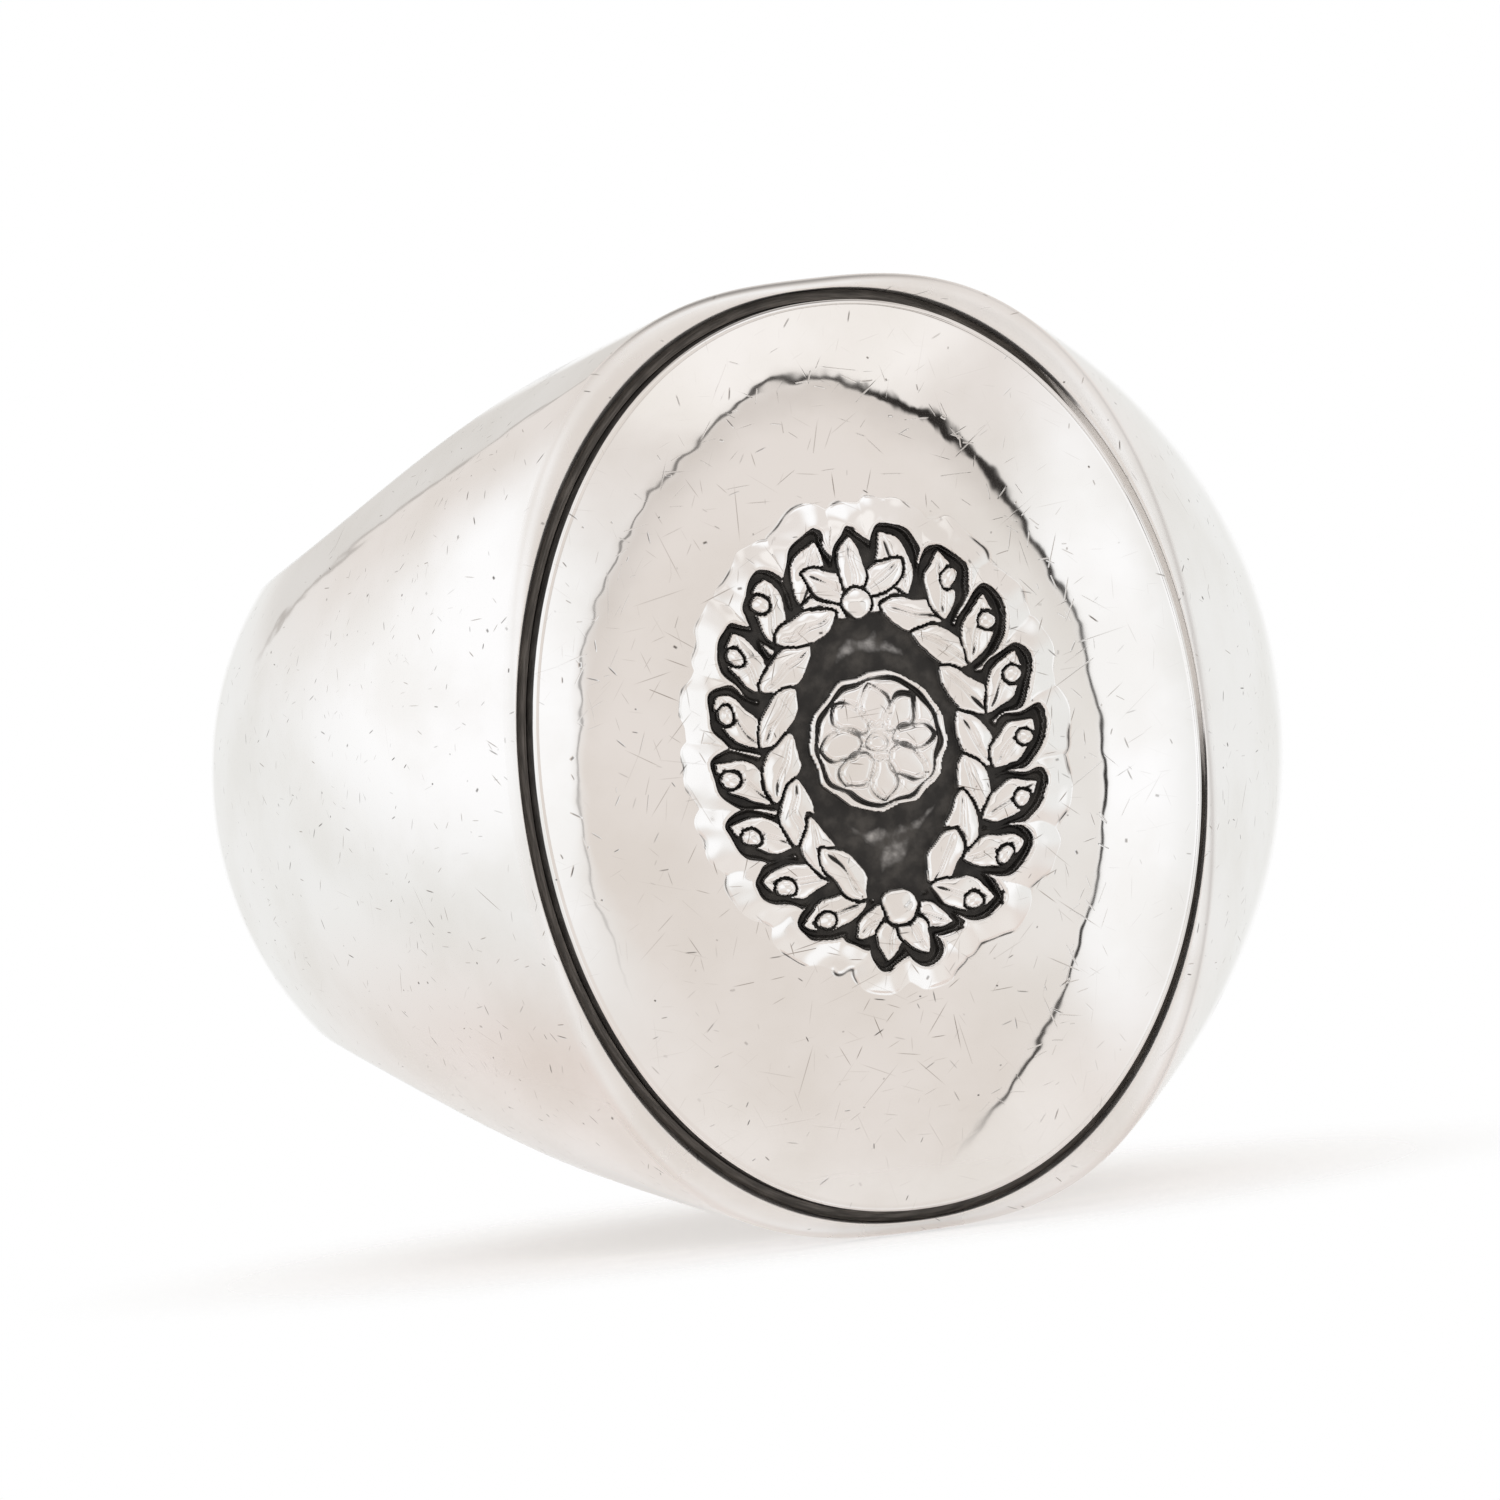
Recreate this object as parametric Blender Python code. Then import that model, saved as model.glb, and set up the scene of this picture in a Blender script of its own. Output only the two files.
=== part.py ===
"""A signet ring: a tapered hoop with an oval head, a domed face plate set in the head, a blackened
line round the plate, and a struck plaque with a blackened ground in the middle of the plate.

The finger goes along Z. The face looks along -Y, so a height is a distance from the finger's axis
towards -Y. The hoop is the same on its left and right, and the same above and below."""

import math

import bmesh
import bpy

MM = 0.001

# Hoop
BORE_RADIUS = 8.65 * MM
BAND_THICKNESS = 1.6 * MM
BAND_WIDTH = 5.3 * MM
BORE_EDGE_ROUND = 0.3 * MM
BAND_FULLNESS = 3.6
BACK_EASE = 0.13

# Head and shoulders
HEAD_THICKNESS = 3.05 * MM
OVAL_LENGTH = 17.64 * MM
OVAL_WIDTH = 13.24 * MM
OVAL_FULLNESS = 2.12
LIP_SIDE_WIDTH = 0.225 * MM
LIP_END_WIDTH = 0.23 * MM
LIP_ROUND = 0.2 * MM
SHOULDER_TAPER = 5.7
HEAD_FULLNESS = 2.8
SWING_END = math.radians(118)
SEAT_DEPTH = 1.1 * MM

# Groove and its blackening
GROOVE_WIDTH = 0.215 * MM
INLAY_SINK = 0.15 * MM
FIT_GAP = 0.015 * MM

# Face plate
PLATE_RISE = 0.5 * MM
PLATE_EDGE_ROUND = 0.08 * MM
PLATE_DOME = 1.1 * MM

# Plaque
PLAQUE_LENGTH = 9.6 * MM
PLAQUE_WIDTH = 7.6 * MM
PLAQUE_LIFT = 0.28 * MM
PLAQUE_TURN = math.radians(-1.5)
PLAQUE_DEPTH = 1.1 * MM
PLAQUE_RIM = 0.3 * MM
GROUND_SINK = 0.32 * MM
BOSS_RADIUS = 1.3 * MM
BOSS_SINK = 0.04 * MM
BLACKENING_THICKNESS = 0.08 * MM

# Facets
QUARTER_STEPS = 16
LIP_STEPS = 3
HEAD_STEPS = 6
HOOP_STEPS = 28
HOOP_CROWDING = 1.6
EDGE_STEPS = 3
BORE_STEPS = 3
DOME_STEPS = 8
GROUND_STEPS = 3
BOSS_STEPS = 3
SHARP_ANGLE = math.radians(35)

# Worked out from the sizes above
LIP_HEIGHT = BORE_RADIUS + HEAD_THICKNESS
RIM_HEIGHT = LIP_HEIGHT - LIP_ROUND
SEAT_HEIGHT = LIP_HEIGHT - SEAT_DEPTH
PLATE_EDGE_HEIGHT = LIP_HEIGHT + PLATE_RISE
CROWN_HEIGHT = PLATE_EDGE_HEIGHT + PLATE_DOME
POCKET_HEIGHT = CROWN_HEIGHT - PLAQUE_DEPTH
EDGE_RADIUS = BORE_RADIUS + BORE_EDGE_ROUND
BACK_RADIUS = BORE_RADIUS + BAND_THICKNESS
OVAL_HALVES = (OVAL_WIDTH / 2, OVAL_LENGTH / 2)
RIM_HALVES = (OVAL_HALVES[0] + LIP_SIDE_WIDTH, OVAL_HALVES[1] + LIP_END_WIDTH)
PLATE_HALVES = (OVAL_HALVES[0] - GROOVE_WIDTH, OVAL_HALVES[1] - GROOVE_WIDTH)
DOME_HALVES = (PLATE_HALVES[0] - PLATE_EDGE_ROUND, PLATE_HALVES[1] - PLATE_EDGE_ROUND)
PLAQUE_HALVES = (PLAQUE_WIDTH / 2, PLAQUE_LENGTH / 2)
HEAD_ANGLE = math.atan2(RIM_HALVES[0], RIM_HEIGHT)
OVAL_STEPS = 4 * QUARTER_STEPS


def clear_scene():
    for old in list(bpy.data.objects):
        bpy.data.objects.remove(old)


def metal(name, colour, roughness, metallic):
    made = bpy.data.materials.new(name)
    made.use_nodes = True
    shader = made.node_tree.nodes["Principled BSDF"]
    shader.inputs["Base Color"].default_value = (*colour, 1.0)
    shader.inputs["Roughness"].default_value = roughness
    shader.inputs["Metallic"].default_value = metallic
    return made


def add_piece(name, bm, material):
    """Turns the bmesh into a smooth-shaded object of this name."""
    mesh = bpy.data.meshes.new(name)
    bm.to_mesh(mesh)
    bm.free()
    mesh.materials.append(material)
    mesh.shade_smooth()
    mesh.set_sharp_from_angle(angle=SHARP_ANGLE)
    piece = bpy.data.objects.new(name, mesh)
    bpy.context.scene.collection.objects.link(piece)
    return piece


# The hoop's outer form. At each angle round the finger, counted from the middle of the face, a
# half-oval section stands on a centre point. Under the head the section is parallel to the face and
# its centre lies straight behind it. Along the shoulder it swings round until it passes through the
# finger's axis.


def crown_radius(angle):
    """How far the middle of the outer surface is from the finger's axis."""
    head_radius = math.hypot(RIM_HALVES[0], RIM_HEIGHT)
    nearness = (1 + math.cos(angle)) / (1 + math.cos(HEAD_ANGLE))
    return BACK_RADIUS + (head_radius - BACK_RADIUS) * nearness**SHOULDER_TAPER


def ease(share):
    """A step from 0 to 1 with flat, evenly curved ends."""
    share = min(max(share, 0.0), 1.0)
    return share**3 * (share * (6 * share - 15) + 10)


def swing(angle):
    """How far the section has swung round: 0 under the head and 1 along the band."""
    return ease((angle - HEAD_ANGLE) / (SWING_END - HEAD_ANGLE))


def section_centre(angle):
    """Y of the point that the section stands on, which is 0 once the section has swung round."""
    return -crown_radius(angle) * math.cos(angle) * (1 - swing(angle))


def section_fullness(angle):
    """The power of the section's oval: 2 is an ellipse, and more is squarer."""
    return HEAD_FULLNESS + (BAND_FULLNESS - HEAD_FULLNESS) * swing(angle)


def section_half_width(angle):
    """Half the section oval's length along the finger: it narrows evenly, and eases at the back."""
    bore_share = (EDGE_RADIUS / BACK_RADIUS) ** BAND_FULLNESS
    back = BAND_WIDTH / 2 / math.sqrt(1 - bore_share)
    way = (math.pi - angle) / (math.pi - HEAD_ANGLE)
    eased = math.hypot(way, BACK_EASE) - BACK_EASE
    return back + (RIM_HALVES[1] - back) * eased / (math.hypot(1, BACK_EASE) - BACK_EASE)


def bore_share_of_section(angle):
    """How far along the section, from its centre to its crown, it comes out of the bore's edge."""
    centre = section_centre(angle)
    if centre <= -EDGE_RADIUS:
        return 0.0
    reach_x = crown_radius(angle) * math.sin(angle)
    reach_y = -crown_radius(angle) * math.cos(angle) - centre
    square = reach_x**2 + reach_y**2
    half_linear = centre * reach_y
    constant = centre**2 - EDGE_RADIUS**2
    return (-half_linear + math.sqrt(half_linear**2 - square * constant)) / square


def bore_start_angle():
    """The angle where the section's centre reaches the bore's edge, found by halving."""
    low, high = HEAD_ANGLE, SWING_END
    for _ in range(60):
        middle = (low + high) / 2
        if section_centre(middle) < -EDGE_RADIUS:
            low = middle
        else:
            high = middle
    return high


def section_row(angle, share_at_bore):
    """Points of one section, from its crown round to the bore's edge, above the mid-plane."""
    centre = section_centre(angle)
    reach_x = crown_radius(angle) * math.sin(angle)
    reach_y = -crown_radius(angle) * math.cos(angle) - centre
    half_width = section_half_width(angle)
    fullness = section_fullness(angle)
    last = math.acos(share_at_bore ** (fullness / 2))
    row = []
    for step in range(QUARTER_STEPS + 1):
        turn = last * step / QUARTER_STEPS
        share = share_at_bore
        if step < QUARTER_STEPS:
            share = math.cos(turn) ** (2 / fullness)
        row.append((reach_x * share, centre + reach_y * share, half_width * math.sin(turn)))
    return row


def bore_row(edge_point):
    """Points on from the bore's edge, over its rounding and down the bore to the mid-plane."""
    edge_x, edge_y, edge_z = edge_point
    row = []
    for step in range(1, EDGE_STEPS + 1):
        turn = math.pi / 2 * step / EDGE_STEPS
        radius = EDGE_RADIUS - BORE_EDGE_ROUND * math.sin(turn)
        height = edge_z - BORE_EDGE_ROUND * (1 - math.cos(turn))
        row.append((edge_x * radius / EDGE_RADIUS, edge_y * radius / EDGE_RADIUS, height))
    wall_x, wall_y, wall_z = row[-1]
    for step in range(1, BORE_STEPS + 1):
        row.append((wall_x, wall_y, wall_z * (1 - step / BORE_STEPS)))
    return row


def quarter_oval(halves, height):
    """A quarter of an oval parallel to the face, from its right end up to its top."""
    row = []
    for step in range(QUARTER_STEPS + 1):
        turn = math.pi / 2 * step / QUARTER_STEPS
        share = math.cos(turn) ** (2 / OVAL_FULLNESS) if step < QUARTER_STEPS else 0.0
        row.append((halves[0] * share, -height, halves[1] * math.sin(turn)))
    return row


def between(first, second, share):
    """The points that lie at this share of the way from each first point to its second one."""
    return [tuple(a + (b - a) * share for a, b in zip(*pair)) for pair in zip(first, second)]


def lip_rows():
    """The lip's rounding, from the groove's edge out to the rim where the shoulder starts."""
    inner = quarter_oval(OVAL_HALVES, LIP_HEIGHT)
    rim = section_row(HEAD_ANGLE, 0.0)
    rows = [inner]
    for step in range(1, LIP_STEPS):
        turn = math.pi / 2 * step / LIP_STEPS
        height = LIP_HEIGHT - LIP_ROUND * (1 - math.cos(turn))
        rows.append([(x, -height, z) for x, _, z in between(inner, rim, math.sin(turn))])
    return rows


def shank_rows():
    """Rows of points over a quarter of the shank, from the middle of its seat to its back."""
    rows = [[(0.0, -SEAT_HEIGHT, 0.0)]]
    rows.append(quarter_oval(OVAL_HALVES, SEAT_HEIGHT))
    rows += lip_rows()
    start = bore_start_angle()
    for step in range(HEAD_STEPS):
        rows.append(section_row(HEAD_ANGLE + (start - HEAD_ANGLE) * step / HEAD_STEPS, 0.0))
    for step in range(HOOP_STEPS + 1):
        angle = start + (math.pi - start) * (step / HOOP_STEPS) ** HOOP_CROWDING
        share = bore_share_of_section(angle) if step else 0.0
        row = section_row(angle, share)
        row += bore_row(row[-1])
        if step == HOOP_STEPS:
            row = [(0.0, y, z) for _, y, z in row]
        rows.append(row)
    return rows


def add_shank(material):
    """The quarter's rows joined by faces, then mirrored to the left and below."""
    bm = bmesh.new()
    rows = [[bm.verts.new(point) for point in row] for row in shank_rows()]
    middle = rows[0][0]
    for first, second in zip(rows[1], rows[1][1:]):
        bm.faces.new((middle, first, second))
    for near, far in zip(rows[1:], rows[2:]):
        for column in range(min(len(near), len(far)) - 1):
            bm.faces.new((near[column], far[column], far[column + 1], near[column + 1]))
    shank = add_piece("shank", bm, material)
    mirror = shank.modifiers.new("left_and_below", "MIRROR")
    mirror.use_axis = (True, False, True)
    mirror.merge_threshold = 0.001 * MM
    return shank


# The pieces of the face are rings joined in order. A ring starts as an oval seen from the front, and
# is then laid level at a height, or on the plate's dome.


def oval(halves, fullness=2.0):
    """An oval of this fullness, from its right end round through its top."""
    points = []
    for step in range(OVAL_STEPS):
        way = 2 * math.pi * step / OVAL_STEPS
        share = math.copysign(abs(math.cos(way)) ** (2 / fullness), math.cos(way))
        points.append((halves[0] * share, halves[1] * math.sin(way)))
    return points


def face_oval(halves):
    """An oval of the same kind as the groove."""
    return oval(halves, OVAL_FULLNESS)


def on_plaque(points):
    """The points turned with the plaque and moved to its middle."""
    cosine = math.cos(PLAQUE_TURN)
    sine = math.sin(PLAQUE_TURN)
    return [(x * cosine + z * sine, PLAQUE_LIFT - x * sine + z * cosine) for x, z in points]


def level(points, height):
    return [(x, -height, z) for x, z in points]


def dome_height(x, z):
    """The dome falls from its crown with the square of the distance, down to the plate's edge."""
    return CROWN_HEIGHT - PLATE_DOME * ((x / DOME_HALVES[0]) ** 2 + (z / DOME_HALVES[1]) ** 2)


def on_dome(points, sink=0.0):
    """The points at this depth below the dome."""
    return [(x, sink - dome_height(x, z), z) for x, z in points]


def inset(halves, distance):
    return (halves[0] - distance, halves[1] - distance)


def plaque_oval(distance):
    """The plaque's outline, inset by this distance."""
    return on_plaque(oval(inset(PLAQUE_HALVES, distance)))


def boss_circle(radius):
    return on_plaque(oval((radius, radius)))


def add_lofted(name, rings, material, hollow=False):
    """A body through the rings: capped at both ends, or closed on itself where it is hollow."""
    bm = bmesh.new()
    loops = [[bm.verts.new(point) for point in points] for points in rings]
    followers = loops[1:] + loops[:1] if hollow else loops[1:]
    for near, far in zip(loops, followers):
        for step in range(OVAL_STEPS):
            after = (step + 1) % OVAL_STEPS
            bm.faces.new((near[step], near[after], far[after], far[step]))
    if not hollow:
        bm.faces.new(loops[0])
        bm.faces.new(loops[-1])
    bmesh.ops.recalc_face_normals(bm, faces=bm.faces)
    return add_piece(name, bm, material)


def add_signet_plate(material):
    """A straight wall, a small rounding, the dome, and the pocket that the plaque sits in."""
    outline = face_oval(PLATE_HALVES)
    rings = [level(outline, SEAT_HEIGHT), level(outline, PLATE_EDGE_HEIGHT - PLATE_EDGE_ROUND)]
    pocket = plaque_oval(0.0)
    for step in range(DOME_STEPS + 1):
        rings.append(on_dome(between(face_oval(DOME_HALVES), pocket, step / DOME_STEPS)))
    rings.append(level(pocket, POCKET_HEIGHT))
    return add_lofted("signet_plate", rings, material)


def add_groove_inlay(material):
    outer = face_oval(inset(OVAL_HALVES, FIT_GAP))
    inner = face_oval(inset(PLATE_HALVES, -FIT_GAP))
    top = LIP_HEIGHT - INLAY_SINK
    rings = [level(outer, SEAT_HEIGHT), level(outer, top), level(inner, top), level(inner, SEAT_HEIGHT)]
    return add_lofted("groove_inlay", rings, material, hollow=True)


def ground_rings(gap, sink):
    """The plaque's ground, from its rim in to its boss, at this depth below the dome."""
    outside = plaque_oval(PLAQUE_RIM + gap)
    inside = boss_circle(BOSS_RADIUS + gap)
    shares = [step / GROUND_STEPS for step in range(GROUND_STEPS + 1)]
    return [on_dome(between(outside, inside, share), sink) for share in shares]


def boss_rings():
    """The boss: an upright wall for half its height, then a rounded top."""
    low = CROWN_HEIGHT - GROUND_SINK
    high = CROWN_HEIGHT - BOSS_SINK
    wall_top = (low + high) / 2
    rings = []
    for step in range(BOSS_STEPS + 1):
        turn = math.pi / 2 * step / (BOSS_STEPS + 1)
        height = wall_top + (high - wall_top) * math.sin(turn)
        rings.append(level(boss_circle(BOSS_RADIUS * math.cos(turn)), height))
    return rings


def add_crest_plaque(material):
    """A flush rim round a sunk ground, with a boss in the middle."""
    outline = plaque_oval(FIT_GAP)
    rings = [level(outline, POCKET_HEIGHT), on_dome(outline), on_dome(plaque_oval(PLAQUE_RIM))]
    rings += ground_rings(0.0, GROUND_SINK) + boss_rings()
    return add_lofted("crest_plaque", rings, material)


def add_crest_blackening(material):
    """A thin layer that lies on the plaque's ground."""
    top = ground_rings(FIT_GAP, GROUND_SINK - BLACKENING_THICKNESS)
    bottom = ground_rings(FIT_GAP, GROUND_SINK)
    return add_lofted("crest_blackening", top + bottom[::-1], material, hollow=True)


def main():
    clear_scene()
    silver = metal("polished_silver", (0.86, 0.85, 0.84), 0.16, 1.0)
    plate_silver = metal("struck_silver", (0.84, 0.82, 0.81), 0.2, 1.0)
    plaque_silver = metal("worn_relief_silver", (0.78, 0.77, 0.76), 0.26, 1.0)
    groove_black = metal("groove_blackening", (0.02, 0.019, 0.018), 0.7, 0.0)
    ground_black = metal("ground_blackening", (0.015, 0.014, 0.014), 0.6, 0.0)
    pieces = [
        add_shank(silver),
        add_signet_plate(plate_silver),
        add_groove_inlay(groove_black),
        add_crest_plaque(plaque_silver),
        add_crest_blackening(ground_black),
    ]
    reference = bpy.data.objects.new("finger_axis", None)
    bpy.context.scene.collection.objects.link(reference)
    for piece in pieces:
        piece.parent = reference


main()
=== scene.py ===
# %% [markdown]
# # A worn silver signet ring
#
# A signet ring is a small mirror with a bend in every direction, so its looks come from three things: a
# surface that is smooth to a hundredth of a millimetre, a finish full of small wear, and a room worth
# reflecting. This lesson makes the room first, then the finish, then the pieces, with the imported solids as
# the frame that every piece fits. Lengths are in millimetres until a mesh is made.

# %% Load the frame
import math

import bpy
import numpy as np
from mathutils import Matrix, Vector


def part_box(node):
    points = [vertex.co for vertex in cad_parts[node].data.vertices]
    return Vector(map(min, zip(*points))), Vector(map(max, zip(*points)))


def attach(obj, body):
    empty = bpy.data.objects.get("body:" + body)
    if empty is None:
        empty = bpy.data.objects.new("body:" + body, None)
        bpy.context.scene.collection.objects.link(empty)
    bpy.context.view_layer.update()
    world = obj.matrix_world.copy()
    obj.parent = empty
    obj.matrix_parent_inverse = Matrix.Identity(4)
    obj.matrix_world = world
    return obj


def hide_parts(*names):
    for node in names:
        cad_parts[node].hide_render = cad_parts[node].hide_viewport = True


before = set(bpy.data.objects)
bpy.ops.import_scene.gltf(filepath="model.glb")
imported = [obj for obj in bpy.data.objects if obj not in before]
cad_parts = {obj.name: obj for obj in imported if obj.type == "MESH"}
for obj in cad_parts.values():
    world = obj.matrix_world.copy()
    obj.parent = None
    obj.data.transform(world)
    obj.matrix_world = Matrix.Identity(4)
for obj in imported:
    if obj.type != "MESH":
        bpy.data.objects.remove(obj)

MM = 0.001
scene = bpy.context.scene
scene.view_settings.view_transform = "Standard"
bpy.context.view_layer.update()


def box_mm(node):
    """A solid's lowest and highest corner in millimetres."""
    return [np.array(corner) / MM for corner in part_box(node)]


print("solids:", sorted(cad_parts))

# %% [markdown]
# ## The camera
#
# The photograph was taken with a long lens from the left of the face, almost level with it, and the ring
# leans in the picture. A camera can be aimed with a constraint, but here three axes are worked out from
# the azimuth, elevation and lean, because they say exactly which way the picture's right and up point.
# The ring's middle isn't in the middle of the picture, and the lens shift takes that up.

# %% The camera
PHOTO_SIZE = 1500
RING_PIXEL = (735.4, 753.2)
PIXELS_PER_MM = 51.03
CAMERA_DISTANCE = 300.0
CAMERA_AZIMUTH = math.radians(-11.82)
CAMERA_ELEVATION = math.radians(1.62)
CAMERA_LEAN = math.radians(6.715)
SENSOR_WIDTH = 36.0


def camera_axes(azimuth, elevation, lean):
    """Right, up and back as unit vectors: a level camera's axes, turned about its line of sight."""
    back = np.array([math.sin(azimuth) * math.cos(elevation),
                     -math.cos(azimuth) * math.cos(elevation), math.sin(elevation)])
    level = np.array([math.cos(azimuth), math.sin(azimuth), 0.0])
    upright = np.cross(back, level)
    right = level * math.cos(lean) - upright * math.sin(lean)
    up = level * math.sin(lean) + upright * math.cos(lean)
    return right, up, back


def add_camera():
    """A lens that shows the photograph's width of the scene at the ring's distance."""
    lens = bpy.data.cameras.new("photo_camera")
    lens.sensor_width = SENSOR_WIDTH
    lens.lens = SENSOR_WIDTH * CAMERA_DISTANCE * PIXELS_PER_MM / PHOTO_SIZE
    lens.shift_x = (PHOTO_SIZE / 2 - RING_PIXEL[0]) / PHOTO_SIZE
    lens.shift_y = (RING_PIXEL[1] - PHOTO_SIZE / 2) / PHOTO_SIZE
    lens.clip_start = 0.01
    camera = bpy.data.objects.new("photo_camera", lens)
    right, up, back = camera_axes(CAMERA_AZIMUTH, CAMERA_ELEVATION, CAMERA_LEAN)
    matrix = np.eye(4)
    matrix[:3, 0], matrix[:3, 1], matrix[:3, 2] = right, up, back
    matrix[:3, 3] = back * CAMERA_DISTANCE * MM
    camera.matrix_world = Matrix(matrix.tolist())
    scene.collection.objects.link(camera)
    scene.camera = camera
    return lens.lens


print("lens of %.0f mm" % add_camera())

# %% [markdown]
# ## Two helpers for shaders
#
# Shaders here are built in code, so one small function adds a node, sets it and links it, and gives back the
# output that the next node needs. Colours are written as the sRGB hex values that a colour picker shows, and
# one function turns them to the linear values that a shader needs.

# %% Helpers for shaders
SMOOTH = {"interpolation_type": "SMOOTHSTEP"}
COLOURS = {"output": "Result", "data_type": "RGBA"}


def linear(hex_colour):
    """An sRGB hex colour as linear red, green, blue and alpha."""
    srgb = np.array([int(hex_colour[i:i + 2], 16) for i in (1, 3, 5)]) / 255
    low, high = srgb / 12.92, ((srgb + 0.055) / 1.055) ** 2.4
    return (*np.where(srgb <= 0.04045, low, high).tolist(), 1.0)


def add(tree, kind, inputs=(), output=0, **settings):
    """Adds a node, sets it, fills or links its inputs, and returns one of its outputs.

    The inputs are a list in the node's own order, or a dictionary by name or number.
    """
    node = tree.nodes.new("ShaderNode" + kind)
    for name, value in settings.items():
        setattr(node, name, value)
    for key, value in (inputs.items() if isinstance(inputs, dict) else enumerate(inputs)):
        if isinstance(value, bpy.types.NodeSocket):
            tree.links.new(value, node.inputs[key])
        else:
            node.inputs[key].default_value = value
    return node.outputs[output] if node.outputs else node


print("a middle grey, #808080, is %.3f in linear light" % linear("#808080")[0])

# %% [markdown]
# ## The light tent
#
# Silver is photographed inside a white tent, and what looks like shading on it is the tent's reflection.
# Lamps could light the ring, but a mirror shows the lamps themselves, so the tent is painted on the world
# by direction. Azimuth is counted from straight in front of the face towards its right, and elevation
# upwards, both in degrees. The cloth is a soft grey that turns warmer upwards and downwards, and each lit
# panel of it is an oval with a soft edge.

# %% The tent's cloth
CLOTH_LEVEL, CLOTH_HIGH, CLOTH_LOW = "#EEEEEC", "#E6E0DB", "#E2D7D0"
HIGH_FADE, LOW_FADE = (4.0, 22.0), (-8.0, -32.0)
# Each lit panel is its middle, its reach, the shares of the reach where it is out and full, and its colour.
# The tent's left side comes first, then the right and the left of its front, then strips over and under the
# opening, and last the sheets above and below that light the rim round the emblem.
LIT_PANELS = (
    ((-95.0, 14.0), (55.0, 24.0), (1.2, 0.5), "#FFFFFF"),
    ((41.0, -1.0), (11.0, 22.0), (1.15, 0.45), "#FFFFFF"),
    ((-32.0, 6.0), (16.0, 25.0), (1.1, 0.45), "#FFFFFF"),
    ((8.0, 25.5), (30.0, 5.5), (1.2, 0.6), "#F7F3EF"),
    ((5.0, -32.0), (45.0, 14.0), (1.3, 0.6), "#ECE7E2"),
    ((5.0, 44.0), (30.0, 11.0), (1.1, 0.5), "#FFFFFF"),
    ((8.0, -47.0), (30.0, 13.0), (1.1, 0.5), "#FFFFFF"),
)
# The backdrop is a white patch behind the ring, straight across from the camera.
BACKDROP = ((168.2, -1.6), (8.0, 8.0), (2.1, 0.6), "#FFFFFF")
# Grey flags, a strip at the right and a sheet overhead, give the other sides their darker edges.
GREY_FLAGS = (
    ((84.0, 0.0), (15.0, 150.0), (1.2, 0.1), "#CBC7C4"),
    ((0.0, 90.0), (999.0, 40.0), (1.0, 0.3), "#94908D"),
)


def share_of_reach(tree, degrees, middle, reach):
    """How far a direction is from an oval's middle on either axis, as shares of the oval's reach."""
    offset = add(tree, "VectorMath", [degrees, (*middle, 0.0)], operation="SUBTRACT")
    return add(tree, "VectorMath", [offset, (*reach, 1.0)], operation="DIVIDE")


def lit_panel(tree, degrees, tone, panel):
    """The tone so far, with one panel laid over it: full inside, and out by a smooth step."""
    middle, reach, (out, full), colour = panel
    shares = share_of_reach(tree, degrees, middle, reach)
    away = add(tree, "VectorMath", [shares], "Value", operation="LENGTH")
    lit = add(tree, "MapRange", [away, out, full], **SMOOTH)
    return add(tree, "Mix", {"Factor": lit, "A": tone, "B": linear(colour)}, **COLOURS)


def tent_cloth(tree):
    """The direction in degrees, and the tone of the cloth there: level, high and low colours, then panels."""
    x = add(tree, "SeparateXYZ", [add(tree, "TexCoord", output="Generated")])
    y, z = x.node.outputs[1:]
    forward = add(tree, "Math", [y, -1.0], operation="MULTIPLY")
    azimuth = add(tree, "Math", [x, forward], operation="ARCTAN2")
    elevation = add(tree, "Math", [z], operation="ARCSINE")
    angles = add(tree, "CombineXYZ", [azimuth, elevation])
    degrees = add(tree, "VectorMath", {0: angles, "Scale": math.degrees(1.0)}, operation="SCALE")
    height = add(tree, "SeparateXYZ", [degrees], 1)
    tone = linear(CLOTH_LEVEL)
    for fade, colour in ((HIGH_FADE, CLOTH_HIGH), (LOW_FADE, CLOTH_LOW)):
        share = add(tree, "MapRange", [height, *fade], **SMOOTH)
        tone = add(tree, "Mix", {"Factor": share, "A": tone, "B": linear(colour)}, **COLOURS)
    for panel in LIT_PANELS:
        tone = lit_panel(tree, degrees, tone, panel)
    return degrees, tone


print("%d lit panels and %d grey flags" % (len(LIT_PANELS), len(GREY_FLAGS)))

# %% [markdown]
# The tent is closed at the back by a panel of duller cloth, with a seam along its edge, and open in front,
# where the room beyond is a warm grey. The opening has a dark hem that is gathered and frayed, most of all at
# its upper right. It is thin at the left, and worn away at the lower left. The domed face shows that hem as a
# thin broken line. A hem could be a modelled hoop, but a line at a distance from an oval is easier to fray.
# Only the metal sees the flags, the seam and the hem: the camera sees plain cloth behind the ring from every
# side.

# %% The tent's opening
ROOM, ROOM_BRIGHT, HEM_DARK, HEM_FOLD = "#E4DDD7", "#EAE7E3", "#2E2B29", "#C6BFB9"
OPENING_MIDDLE, OPENING_REACH = (8.0, -3.6), (31.8, 27.1)
ROOM_WINDOW = ((32.0, -2.0), (18.0, 20.0), (1.2, 0.3), ROOM_BRIGHT)
HEM_AT = 1.02
FRAYED_SIDE, LINED_SIDE, WORN_SIDE = (0.63, 0.78, 0.0), (1.0, 0.3, 0.0), (-0.6, -0.8, 0.0)
GATHER_RATE, GATHER_DEPTH, FRAY_RATE = 4.0, 0.07, 24.0
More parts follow.
